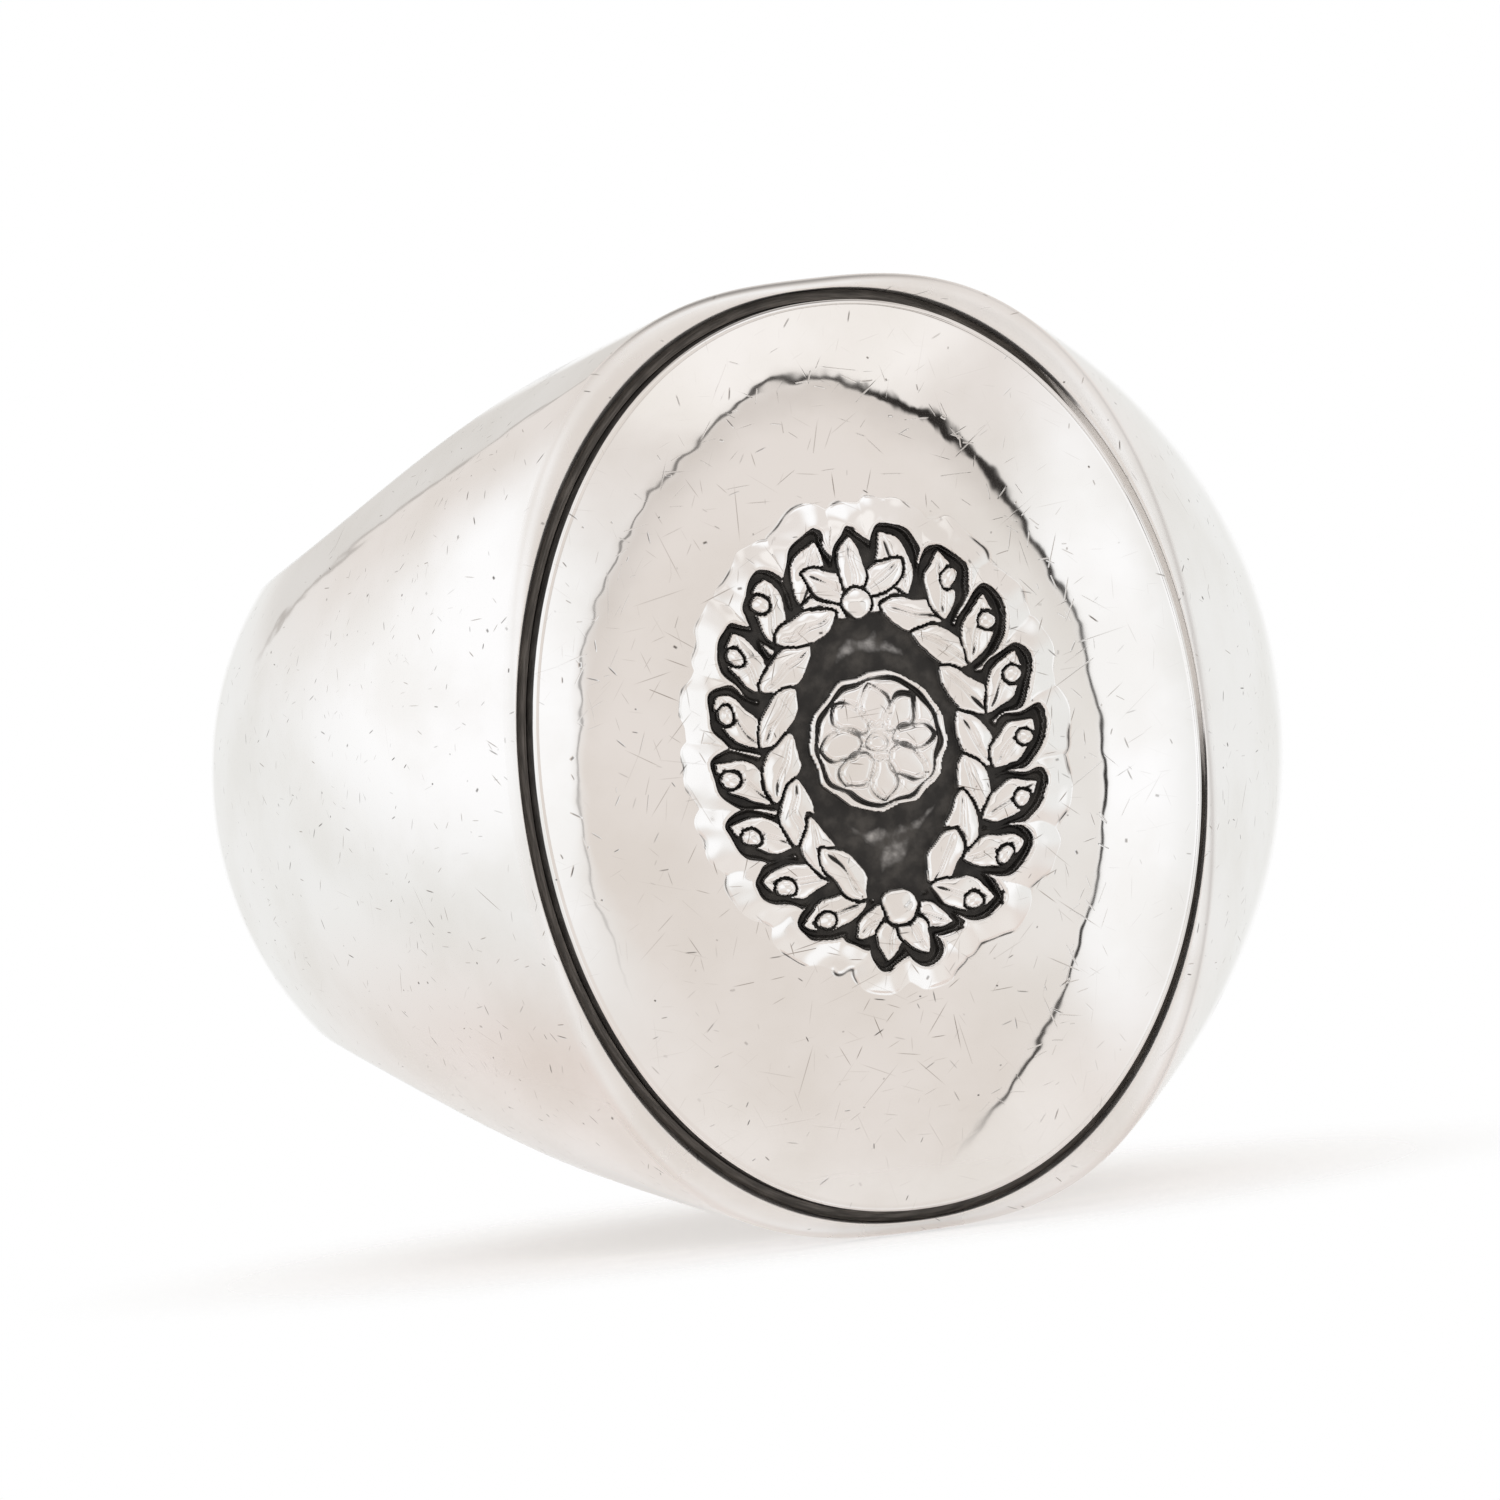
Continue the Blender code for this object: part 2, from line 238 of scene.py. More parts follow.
# Each fade is the two places it goes between, and the values there where they aren't 0 and 1.
LEAN_LOWER_RIGHT, LEAN_LEFT = (0.0, -0.5, 0.0, 0.07), (0.0, -0.5, 0.0, 0.03)
FRAY_DEPTH = (0.85, 1.0, 0.008, 0.04)
FOLD_FADE, FOLD_ABOVE = (0.88, 1.02), (0.1, 0.7, 0.0, 0.5)
OPENING_SOFTNESS = (0.6, 0.95, 0.03, 0.3)
LINE_STRENGTH, WORN_FADE, FOOT_FADE = (-0.95, 0.55, 0.55, 1.0), (0.92, 0.65), (-0.95, -0.75)
LINE_WIDTH, LEFT_THINNING, LINE_FADE = (0.86, 1.01, 0.006, 0.018), (-0.3, -0.75, 1.0, 0.5), (1.5, 0.5)


def hem_distance(tree, shares, frayed):
    """How far a direction is from the opening's middle, as a share of its reach.

    It is the length of the shares, with the oval drawn in at its lower right and left, and a slow noise for
    the gathers and a fine one for the fraying added.
    """
    x = add(tree, "SeparateXYZ", [shares])
    right = add(tree, "Math", [x, 0.0], operation="MAXIMUM")
    lower_right = add(tree, "Math", [right, x.node.outputs[1]], operation="MULTIPLY")
    away = add(tree, "VectorMath", [shares], "Value", operation="LENGTH")
    for place, fade in ((lower_right, LEAN_LOWER_RIGHT), (x, LEAN_LEFT)):
        drawn_in = add(tree, "MapRange", [place, *fade], **SMOOTH)
        away = add(tree, "Math", [away, drawn_in], operation="ADD")
    slow = add(tree, "TexNoise", {"Vector": shares, "Scale": GATHER_RATE, "Detail": 1.0})
    fine = add(tree, "TexNoise", {"Vector": shares, "Scale": FRAY_RATE, "Detail": 3.0})
    fray = add(tree, "MapRange", [frayed, *FRAY_DEPTH], **SMOOTH)
    shift = add(tree, "Math", [slow, GATHER_DEPTH, -GATHER_DEPTH / 2], operation="MULTIPLY_ADD")
    shift = add(tree, "Math", [fine, fray, shift], operation="MULTIPLY_ADD")
    return add(tree, "Math", [away, shift], operation="ADD")


def frayed_hem(tree, degrees, tone):
    """The opening's room and hem over the tone: the room inside the hem's distance, and a line at it.

    A fold of the cloth shades the room under the upper hem. The side sets how soft the opening's edge is, and
    how wide and how strong the line.
    """
    shares = share_of_reach(tree, degrees, OPENING_MIDDLE, OPENING_REACH)
    x = add(tree, "SeparateXYZ", [shares])
    y = x.node.outputs[1]
    frayed, lined, worn = [add(tree, "VectorMath", [shares, side], "Value", operation="DOT_PRODUCT")
                           for side in (FRAYED_SIDE, LINED_SIDE, WORN_SIDE)]
    edge = hem_distance(tree, shares, frayed)
    room = lit_panel(tree, degrees, linear(ROOM), ROOM_WINDOW)
    fold = add(tree, "MapRange", [edge, *FOLD_FADE], **SMOOTH)
    above = add(tree, "MapRange", [y, *FOLD_ABOVE], **SMOOTH)
    fold = add(tree, "Math", [fold, above], operation="MULTIPLY")
    room = add(tree, "Mix", {"Factor": fold, "A": room, "B": linear(HEM_FOLD)}, **COLOURS)
    softness = add(tree, "MapRange", [worn, *OPENING_SOFTNESS], **SMOOTH)
    outside = add(tree, "Math", [HEM_AT, softness], operation="ADD")
    inside = add(tree, "Math", [HEM_AT, softness], operation="SUBTRACT")
    open_share = add(tree, "MapRange", [edge, outside, inside], **SMOOTH)
    tone = add(tree, "Mix", {"Factor": open_share, "A": tone, "B": room}, **COLOURS)
    strength = add(tree, "MapRange", [lined, *LINE_STRENGTH], **SMOOTH)
    for place, fade in ((worn, WORN_FADE), (y, FOOT_FADE)):
        kept = add(tree, "MapRange", [place, *fade], **SMOOTH)
        strength = add(tree, "Math", [strength, kept], operation="MULTIPLY")
    width = add(tree, "MapRange", [frayed, *LINE_WIDTH], **SMOOTH)
    thinned = add(tree, "MapRange", [x, *LEFT_THINNING], **SMOOTH)
    width = add(tree, "Math", [width, thinned], operation="MULTIPLY")
    offset = add(tree, "Math", [edge, HEM_AT], operation="SUBTRACT")
    offset = add(tree, "Math", [offset], operation="ABSOLUTE")
    across = add(tree, "Math", [offset, width], operation="DIVIDE")
    line = add(tree, "MapRange", [across, *LINE_FADE], **SMOOTH)
    line = add(tree, "Math", [line, strength], operation="MULTIPLY")
    return add(tree, "Mix", {"Factor": line, "A": tone, "B": linear(HEM_DARK)}, **COLOURS)


# %% The tent's back and the whole tent
BACK_CLOTH, SEAM_GREY = "#DEDBD7", "#BDB8B3"
SEAM_AZIMUTH, SEAM_WANDER, WANDER_RATE = 199.0, 11.0, 0.25
SEAM_SIDES, SEAM_LINE = (0.6, -0.6), (1.2, 0.2)
BACK_FOOT, BACK_START = (8.0, 14.0), (150.0, 178.0)


def back_panel(tree, degrees, tone):
    """The duller back cloth over the tone, above its foot and up to a seam with a grey line along it.

    The seam is where the azimuth, counted from 0 to 360 and shifted by a noise, is the seam's own.
    """
    azimuth = add(tree, "SeparateXYZ", [degrees])
    height = azimuth.node.outputs[1]
    azimuth = add(tree, "Math", [azimuth, 360.0, 0.0], operation="WRAP")
    wander = add(tree, "TexNoise", {"Vector": degrees, "Scale": WANDER_RATE, "Detail": 2.0})
    past = add(tree, "Math", [azimuth, SEAM_AZIMUTH + SEAM_WANDER / 2], operation="SUBTRACT")
    past = add(tree, "Math", [wander, SEAM_WANDER, past], operation="MULTIPLY_ADD")
    above = add(tree, "MapRange", [height, *BACK_FOOT], **SMOOTH)
    share = add(tree, "MapRange", [past, *SEAM_SIDES], **SMOOTH)
    share = add(tree, "Math", [share, above], operation="MULTIPLY")
    started = add(tree, "MapRange", [azimuth, *BACK_START], **SMOOTH)
    share = add(tree, "Math", [share, started], operation="MULTIPLY")
    tone = add(tree, "Mix", {"Factor": share, "A": tone, "B": linear(BACK_CLOTH)}, **COLOURS)
    seam = add(tree, "Math", [past], operation="ABSOLUTE")
    seam = add(tree, "MapRange", [seam, *SEAM_LINE], **SMOOTH)
    seam = add(tree, "Math", [seam, above], operation="MULTIPLY")
    return add(tree, "Mix", {"Factor": seam, "A": tone, "B": linear(SEAM_GREY)}, **COLOURS)


def light_tent():
    """The world: cloth, panels, back and opening by direction, at strength 1."""
    world = bpy.data.worlds.new("light_tent")
    world.use_nodes = True
    tree = world.node_tree
    tree.nodes.clear()
    degrees, cloth = tent_cloth(tree)
    tone = back_panel(tree, degrees, cloth)
    for flag in GREY_FLAGS:
        tone = lit_panel(tree, degrees, tone, flag)
    tone = frayed_hem(tree, degrees, tone)
    camera = add(tree, "LightPath", output="Is Camera Ray")
    tone = add(tree, "Mix", {"Factor": camera, "A": tone, "B": cloth}, **COLOURS)
    tone = lit_panel(tree, degrees, tone, BACKDROP)
    add(tree, "OutputWorld", [add(tree, "Background", [tone, 1.0])])
    scene.world = world
    return len(tree.nodes)


print("light tent of %d nodes" % light_tent())

# %% [markdown]
# ## The floor
#
# The ring stands on a plain sheet of matt white paper. A white cyclorama could be modelled, but it would hide
# the lower half of the tent from the face, so the sheet is small and thins out to nothing all round, and it
# takes the ring's soft shadow. For the camera and for reflections the paper has a little light of its own, so
# that it comes out pale.

# %% The floor
FLOOR_MIDDLE = (0.0, -3.0)
FLOOR_FULL, FLOOR_END = 3.0, 16.0
FLOOR_WHITE = "#F7F6F5"
PAPER_ROUGHNESS = 0.9
FLOOR_LIFT = 0.23


def white_paper():
    """Matt paper that fades out with the distance from the floor's middle."""
    paper = bpy.data.materials.new("matt_white_paper")
    paper.use_nodes = True
    tree = paper.node_tree
    shader = tree.nodes["Principled BSDF"].inputs
    shader["Base Color"].default_value = linear(FLOOR_WHITE)
    shader["Roughness"].default_value = PAPER_ROUGHNESS
    shader["Specular IOR Level"].default_value = 0.0
    shader["Emission Color"].default_value = linear("#FFFFFF")
    seen = add(tree, "LightPath", output="Is Camera Ray")
    rays = seen.node.outputs
    for ray in ("Is Glossy Ray", "Is Transmission Ray"):
        seen = add(tree, "Math", [seen, rays[ray]], operation="MAXIMUM")
    lift = add(tree, "Math", [seen, FLOOR_LIFT], operation="MULTIPLY")
    tree.links.new(lift, shader["Emission Strength"])
    place = add(tree, "TexCoord", output="Object")
    distance = add(tree, "VectorMath", [place], "Value", operation="LENGTH")
    fade = add(tree, "MapRange", [distance, FLOOR_END * MM, FLOOR_FULL * MM], **SMOOTH)
    tree.links.new(fade, shader["Alpha"])
    return paper


def add_floor(height):
    """A square sheet at a height, in millimetres."""
    corners = np.array([(-1, -1, 0), (1, -1, 0), (1, 1, 0), (-1, 1, 0)]) * FLOOR_END
    mesh = bpy.data.meshes.new("floor")
    mesh.from_pydata((corners * MM).tolist(), [], [(0, 1, 2, 3)])
    mesh.materials.append(white_paper())
    floor = bpy.data.objects.new("floor", mesh)
    floor.location = (FLOOR_MIDDLE[0] * MM, FLOOR_MIDDLE[1] * MM, height * MM)
    scene.collection.objects.link(floor)
    print("floor %.2f mm below the finger's axis" % -height)


add_floor(box_mm("shank")[0][2])

# %% [markdown]
# ## Worn silver
#
# Sterling silver that has been polished and then worn for years is still a mirror, but a tired one: short
# hairlines in every direction that come in clusters, pin-sized dark pits, a faint haze that makes some
# patches duller than others, and a slight waviness. Where it was blackened, the black has ragged edges from
# rubbing. A scratch texture could be an image. Here each hairline is one cell of a Voronoi pattern: the
# cell's own random colour gives the hairline's direction and strength, and the distance from the cell's
# middle gives its length and width. The pattern lies on a flat map of the surface in millimetres, so that
# its sizes are real ones.

# %% Hairlines and pits
SURFACE_MAP = "surface_mm"
BLACKENING, SATIN = "blackening", "satin"
LAYER_STEP, PIT_STEP, STEP_SLOPE = 37.0, 11.0, 0.7
CLUSTER_MM = 2.6
CLUSTER_NOISE, CLUSTER_SHARES = (0.38, 0.66), (0.1, 2.2)
# A stroke is out and full at these shares of its length and of its width.
STROKE_ENDS, STROKE_SIDES = (0.5, 0.15), (0.6, 0.1)
STROKE_FAINTEST, STROKE_POWER = 0.15, 2.0


def strokes(tree, flat, layer, start):
    """How strongly one layer of strokes marks a place: a straight stroke lies across each picked cell.

    A slow noise at the cell's middle makes the picked cells come in clusters.
    """
    cell, length, width, share = layer
    moved = add(tree, "VectorMath", [flat, (start, STEP_SLOPE * start, 0.0)], operation="ADD")
    spot = add(tree, "VectorMath", {0: moved, "Scale": 1 / cell}, operation="SCALE")
    chance = add(tree, "TexVoronoi", {"Vector": spot, "Scale": 1.0}, "Color", voronoi_dimensions="2D")
    middle = chance.node.outputs["Position"]
    red = add(tree, "SeparateColor", [chance])
    green, blue = red.node.outputs[1:3]
    crowd = add(tree, "TexNoise", {"Vector": middle, "Scale": cell / CLUSTER_MM, "Detail": 1.0})
    limits = [part * share for part in CLUSTER_SHARES]
    limit = add(tree, "MapRange", [crowd, *CLUSTER_NOISE, *limits])
    picked = add(tree, "Math", [green, limit], operation="LESS_THAN")
    offset = add(tree, "VectorMath", [spot, middle], operation="SUBTRACT")
    turn = add(tree, "Math", [red, math.tau], operation="MULTIPLY")
    turned = add(tree, "VectorRotate", {"Vector": offset, "Angle": turn}, rotation_type="Z_AXIS")
    along = add(tree, "SeparateXYZ", [turned])
    across = add(tree, "Math", [along.node.outputs[1]], operation="ABSOLUTE")
    along = add(tree, "Math", [along], operation="ABSOLUTE")
    line = add(tree, "MapRange", [along, *(end * length / cell for end in STROKE_ENDS)], **SMOOTH)
    side = add(tree, "MapRange", [across, *(end * width / cell for end in STROKE_SIDES)], **SMOOTH)
    strength = add(tree, "Math", [blue, STROKE_POWER], operation="POWER")
    strength = add(tree, "Math", [strength, 1 - STROKE_FAINTEST, STROKE_FAINTEST], operation="MULTIPLY_ADD")
    strength = add(tree, "Math", [picked, strength], operation="MULTIPLY")
    stroke = add(tree, "Math", [line, side], operation="MULTIPLY")
    return add(tree, "Math", [stroke, strength], operation="MULTIPLY")


def marks(tree, flat, layers, start):
    """The strongest stroke of several layers, each moved to its own part of the pattern."""
    strongest = strokes(tree, flat, layers[0], start)
    for number, layer in enumerate(layers[1:], 1):
        stroke = strokes(tree, flat, layer, start + LAYER_STEP * number)
        strongest = add(tree, "Math", [strongest, stroke], operation="MAXIMUM")
    return strongest


print("hairlines come in clusters of about %.1f mm" % CLUSTER_MM)

# %% Layers of wear
# Each layer is its cells' size, the strokes' length and width, and the share of cells that have one. The
# finest real hairlines are a few thousandths of a millimetre wide: these are drawn wide enough to show.
FACE_HAIRLINES = ((1.3, 1.25, 0.024, 0.45), (0.95, 0.85, 0.024, 0.55), (0.65, 0.55, 0.023, 0.6),
                  (0.42, 0.33, 0.023, 0.5))
SIDE_HAIRLINES = ((1.5, 0.8, 0.022, 0.18), (0.8, 0.36, 0.024, 0.25), (0.45, 0.2, 0.026, 0.22))
PITS = ((0.95, 0.11, 0.06, 0.2), (0.5, 0.06, 0.04, 0.09), (0.62, 0.27, 0.032, 0.26),
        (0.36, 0.14, 0.028, 0.09))
CROWN_FADE, NO_CROWN = (1.1, 0.7, 0.15, 1.0), (99.0, 99.0)
RAGGED_BY, RAGGED_FADE = 0.6, (0.2, 0.65)


def crown_hairlines(tree, flat, layers, start, crown):
    """Hairlines that thin out towards the crown's reach on the flat map: knocks land on a crown first."""
    hairlines = marks(tree, flat, layers, start)
    out = add(tree, "VectorMath", [flat, (*crown, 1.0)], operation="DIVIDE")
    out = add(tree, "VectorMath", [out], "Value", operation="LENGTH")
    kept = add(tree, "MapRange", [out, *CROWN_FADE], **SMOOTH)
    return add(tree, "Math", [hairlines, kept], operation="MULTIPLY")


def ragged_blackening(tree, smut):
    """How black a place is: where the piece has blackening, a smooth step of it with a noise added."""
    black = add(tree, "Attribute", output="Fac", attribute_name=BLACKENING)
    ragged = add(tree, "Math", [smut, RAGGED_BY, -RAGGED_BY / 2], operation="MULTIPLY_ADD")
    ragged = add(tree, "Math", [ragged, black], operation="ADD")
    ragged = add(tree, "MapRange", [ragged, *RAGGED_FADE], **SMOOTH)
    blackened = add(tree, "Math", [black, 0.0], operation="GREATER_THAN")
    return add(tree, "Math", [ragged, blackened], operation="MULTIPLY")


print("%d layers of hairlines on the face, %d on the sides, and %d of pits"
      % (len(FACE_HAIRLINES), len(SIDE_HAIRLINES), len(PITS)))

# %% Worn silver
SILVER_BRIGHT, SILVER_DULL = "#FEFDFD", "#F6F4F2"
SCRATCH_GREY, PIT_DARK = "#A29A93", "#5E5854"
SULPHIDE_BLACK, SULPHIDE_GREY = "#242221", "#4A4744"
HAZE_MM, SMUT_MM, WAVE_MM = 2.4, 0.35, 0.7
HAZE_FADE, SMUT_FADE = (0.35, 0.7), (0.35, 0.75)
# What haze, hairlines, satin and sulphide add to the roughness, and sulphide to the metallic share.
HAZE_ROUGH, HAIRLINE_ROUGH, SATIN_ROUGH, SULPHIDE_ROUGH = 0.02, 0.2, 0.3, 0.4
SULPHIDE_METALLIC = -0.75
HAIRLINE_DEPTH, PIT_DEPTH = -0.5, -1.0
WEAR_STRENGTH, WEAR_MM = 0.5, 0.005


def worn_silver(name, roughness, hairline_layers, start, crown=NO_CROWN):
    """Polished sterling silver with wear, and black where the piece's blackening says.

    Haze, hairlines, pits and the black are laid over the bright metal in turn: the black is silver sulphide,
    and on the plate's wall partly painted shade. All but the pits roughen it, and so does the piece's satin.
    """
    silver = bpy.data.materials.new(name)
    silver.use_nodes = True
    tree = silver.node_tree
    flat = add(tree, "UVMap", uv_map=SURFACE_MAP)
    place = add(tree, "TexCoord", output="Object")
    haze, smut, wave = [add(tree, "TexNoise", {"Vector": place, "Scale": 1 / (size * MM), "Detail": detail})
                        for size, detail in ((HAZE_MM, 6.0), (SMUT_MM, 3.0), (WAVE_MM, 1.0))]
    hairlines = crown_hairlines(tree, flat, hairline_layers, start, crown)
    pits = marks(tree, flat, PITS, start + PIT_STEP)
    black = ragged_blackening(tree, smut)
    satin = add(tree, "Attribute", output="Fac", attribute_name=SATIN)
    dull = add(tree, "MapRange", [haze, *HAZE_FADE], **SMOOTH)
    patchy = add(tree, "MapRange", [smut, *SMUT_FADE], **SMOOTH)
    sulphide = add(tree, "Mix", {"Factor": patchy, "A": linear(SULPHIDE_BLACK), "B": linear(SULPHIDE_GREY)},
                   **COLOURS)
    colour = linear(SILVER_BRIGHT)
    for share, over in ((dull, linear(SILVER_DULL)), (hairlines, linear(SCRATCH_GREY)),
                        (pits, linear(PIT_DARK)), (black, sulphide)):
        colour = add(tree, "Mix", {"Factor": share, "A": colour, "B": over}, **COLOURS)
    for share, rougher in ((dull, HAZE_ROUGH), (hairlines, HAIRLINE_ROUGH), (satin, SATIN_ROUGH),
                           (black, SULPHIDE_ROUGH)):
        roughness = add(tree, "Math", [share, rougher, roughness], operation="MULTIPLY_ADD")
    metallic = add(tree, "Math", [black, SULPHIDE_METALLIC, 1.0], operation="MULTIPLY_ADD")
    depth = wave
    for share, deeper in ((hairlines, HAIRLINE_DEPTH), (pits, PIT_DEPTH)):
        depth = add(tree, "Math", [share, deeper, depth], operation="MULTIPLY_ADD")
    bump = add(tree, "Bump", {"Height": depth, "Strength": WEAR_STRENGTH, "Distance": WEAR_MM * MM})
    for socket, value in (("Base Color", colour), ("Roughness", roughness), ("Metallic", metallic),
                          ("Normal", bump)):
        tree.links.new(value, tree.nodes["Principled BSDF"].inputs[socket])
    return silver


# The pressed plate is a clear mirror. The filed shank and the struck emblem are a little softer.
SHANK_SILVER = worn_silver("polished_sterling_silver", roughness=0.05, hairline_layers=SIDE_HAIRLINES,
                           start=5.0)
PLATE_SILVER = worn_silver("domed_sterling_silver", roughness=0.015, hairline_layers=FACE_HAIRLINES,
                           start=215.0, crown=(5.2, 7.0))
RELIEF_SILVER = worn_silver("struck_sterling_silver", roughness=0.05, hairline_layers=FACE_HAIRLINES,
                            start=215.0)
print("silver with %d nodes" % len(SHANK_SILVER.node_tree.nodes))

# %% [markdown]
# ## Meshes from arrays
#
# Every piece is a formula on a grid of two numbers. A grid's points are one array, its faces are another
# array of corner numbers, and a third array lays the points out flat for the scratches. Patches that meet
# are joined by giving the points that coincide one number.

# %% Helpers for meshes
WELD = 1e-5


def grid_faces(rows, columns, closed=False):
    """Quads over a grid of points; a closed grid's last column joins its first."""
    number = np.arange(rows * columns).reshape(rows, columns)
    beside = np.roll(number, -1, axis=1) if closed else number[:, 1:]
    number = number if closed else number[:, :-1]
    return np.stack([number[:-1], number[1:], beside[1:], beside[:-1]], -1).reshape(-1, 4)


def join(patches):
    """Patches of points, faces and flat coordinates as one: coinciding points become one point."""
    points = np.concatenate([patch[0] for patch in patches])
    flat = np.concatenate([patch[2] for patch in patches])
    starts = np.cumsum([0] + [len(patch[0]) for patch in patches[:-1]])
    faces = [patch[1] + start for patch, start in zip(patches, starts)]
    keys = np.round(points / WELD).astype(np.int64)
    first, same = np.unique(keys, axis=0, return_index=True, return_inverse=True)[1:]
    same = same.reshape(-1)
    return points[first], [same[face] for face in faces], [flat[face] for face in faces]


def add_piece(name, points, faces, flat, material, nodes, black=None, crease=None, satin=None):
    """A smooth mesh from points in millimetres, lists of faces and the flat coordinates of their corners.

    Edges between two crease points stay sharp, and black and satin say how much of that finish a point has.
    """
    mesh = bpy.data.meshes.new(name)
    mesh.vertices.add(len(points))
    mesh.vertices.foreach_set("co", (points * MM).astype(np.float32).ravel())
    corners = np.concatenate([face.ravel() for face in faces]).astype(np.int32)
    counts = np.concatenate([np.full(len(face), face.shape[1]) for face in faces])
    mesh.loops.add(len(corners))
    mesh.loops.foreach_set("vertex_index", corners)
    mesh.polygons.add(len(counts))
    mesh.polygons.foreach_set("loop_start", np.concatenate([[0], np.cumsum(counts)[:-1]]).astype(np.int32))
    layer = mesh.uv_layers.new(name=SURFACE_MAP)
    layer.uv.foreach_set("vector", np.concatenate([corner.ravel() for corner in flat]).astype(np.float32))
    for label, values in ((BLACKENING, black), (SATIN, satin)):
        if values is not None:
            mesh.attributes.new(label, "FLOAT", "POINT").data.foreach_set("value", values.astype(np.float32))
    mesh.update(calc_edges=True)
    mesh.shade_smooth()
    if crease is not None:
        ends = np.empty(2 * len(mesh.edges), dtype=np.int32)
        mesh.edges.foreach_get("vertices", ends)
        sharp = mesh.attributes.new("sharp_edge", "BOOLEAN", "EDGE")
        sharp.data.foreach_set("value", crease[ends.reshape(-1, 2)].all(1))
    mesh.materials.append(material)
    piece = bpy.data.objects.new(name, mesh)
    scene.collection.objects.link(piece)
    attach(piece, "root")
    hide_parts(*nodes)
    triangles = int((counts - 2).sum())
    print("%s: %d points, %d triangles" % (name, len(points), triangles))


print("points within %g mm of each other become one" % WELD)

# %% [markdown]
# ## The shank
#
# Hoop, shoulders and head are one casting that a jeweller files by eye until no line is left between them.
# It could be a subdivided box, but a mirror shows every uneven face, so it is one formula: at each angle
# round the finger, counted from the middle of the face, a half-oval section stands on a centre point. Under
# the head the section lies parallel to the face, and along the shoulder it swings round until it passes
# through the finger's axis. A quarter is enough, because the rest is its mirror image.

# %% The shank's sizes
BORE_RADIUS = 8.65
BORE_EDGE_ROUND = 0.3
BAND_WIDTH = 5.3
HEAD_FULLNESS = 2.8
BAND_FULLNESS = 3.6
OVAL_FULLNESS = 2.12
BACK_EASE = 0.13
SHOULDER_TAPER = 5.7
SWING_END = math.radians(118)
LIP_ROUND = 0.2
GROOVE_WIDTH = 0.215
LIP_SIDE_WIDTH = 0.225
SEAT_DEPTH = 1.1

shank_low, shank_high = box_mm("shank")
plate_high = box_mm("signet_plate")[1]
LIP_HEIGHT = -shank_low[1]
RIM_HEIGHT = LIP_HEIGHT - LIP_ROUND
SEAT_HEIGHT = LIP_HEIGHT - SEAT_DEPTH
BACK_RADIUS = shank_high[1]
EDGE_RADIUS = BORE_RADIUS + BORE_EDGE_ROUND
PLATE_HALVES = np.array([plate_high[0], plate_high[2]])
OVAL_HALVES = PLATE_HALVES + GROOVE_WIDTH
RIM_HALVES = np.array([OVAL_HALVES[0] + LIP_SIDE_WIDTH, shank_high[2]])
HEAD_ANGLE = math.atan2(RIM_HALVES[0], RIM_HEIGHT)
print("lip %.2f mm and back %.2f mm from the finger's axis" % (LIP_HEIGHT, BACK_RADIUS))

# %% The shank's formula


def crown_radius(angle):
    """Distance of the outline from the axis: the back's radius plus a power of how near the face is."""
    nearness = (1 + np.cos(angle)) / (1 + math.cos(HEAD_ANGLE))
    return BACK_RADIUS + (math.hypot(RIM_HALVES[0], RIM_HEIGHT) - BACK_RADIUS) * nearness**SHOULDER_TAPER


def swing(angle):
    """How far the section has swung from level with the face to through the axis: a fifth-power ease."""
    share = np.clip((angle - HEAD_ANGLE) / (SWING_END - HEAD_ANGLE), 0, 1)
    return share**3 * (share * (6 * share - 15) + 10)


def section_centre(angle):
    """Y of the section's centre: it goes from level with the outline to the axis."""
    return -crown_radius(angle) * np.cos(angle) * (1 - swing(angle))


def section_half_width(angle):
    """Half the section's length along the finger: it falls evenly with the angle and eases at the back."""
    back = BAND_WIDTH / 2 / math.sqrt(1 - (EDGE_RADIUS / BACK_RADIUS) ** BAND_FULLNESS)
    way = (math.pi - angle) / (math.pi - HEAD_ANGLE)
    eased = (np.hypot(way, BACK_EASE) - BACK_EASE) / (math.hypot(1, BACK_EASE) - BACK_EASE)
    return back + (RIM_HALVES[1] - back) * eased


def sections(angle, columns):
    """Rows of section points, crown to bore edge: centre plus reach times a power of the cosine."""
    centre = section_centre(angle)
    across = crown_radius(angle) * np.sin(angle)
    forward = -crown_radius(angle) * np.cos(angle) - centre
    square = across**2 + forward**2
    inner = np.maximum((centre * forward) ** 2 - square * (centre**2 - EDGE_RADIUS**2), 0)
    share = np.where(centre <= -EDGE_RADIUS + 1e-6, 0.0, (np.sqrt(inner) - centre * forward) / square)
    fullness = HEAD_FULLNESS + (BAND_FULLNESS - HEAD_FULLNESS) * swing(angle)
    last = np.arccos(np.clip(share, 0, 1) ** (fullness / 2))
    turn = last[:, None] * columns[None, :]
    reach = np.cos(turn) ** (2 / fullness[:, None])
    reach[:, -1] = share
    return np.stack([across[:, None] * reach, centre[:, None] + forward[:, None] * reach,
                     section_half_width(angle)[:, None] * np.sin(turn)], -1)


def bore_rows(edge, steps):
    """From the bore's edge over a quarter round and down the bore to the middle."""
    turn = np.linspace(0, math.pi / 2, steps + 1)[None, :]
    radius = (EDGE_RADIUS - BORE_EDGE_ROUND * np.sin(turn)) / EDGE_RADIUS
    height = edge[:, 2, None] - BORE_EDGE_ROUND * (1 - np.cos(turn))
    height = np.concatenate([height, height[:, -1:] * np.linspace(1, 0, steps + 1)[None, 1:]], 1)
    radius = np.concatenate([radius, np.full((1, steps), radius[0, -1])], 1)
    return np.stack([edge[:, 0, None] * radius, edge[:, 1, None] * radius, height], -1)


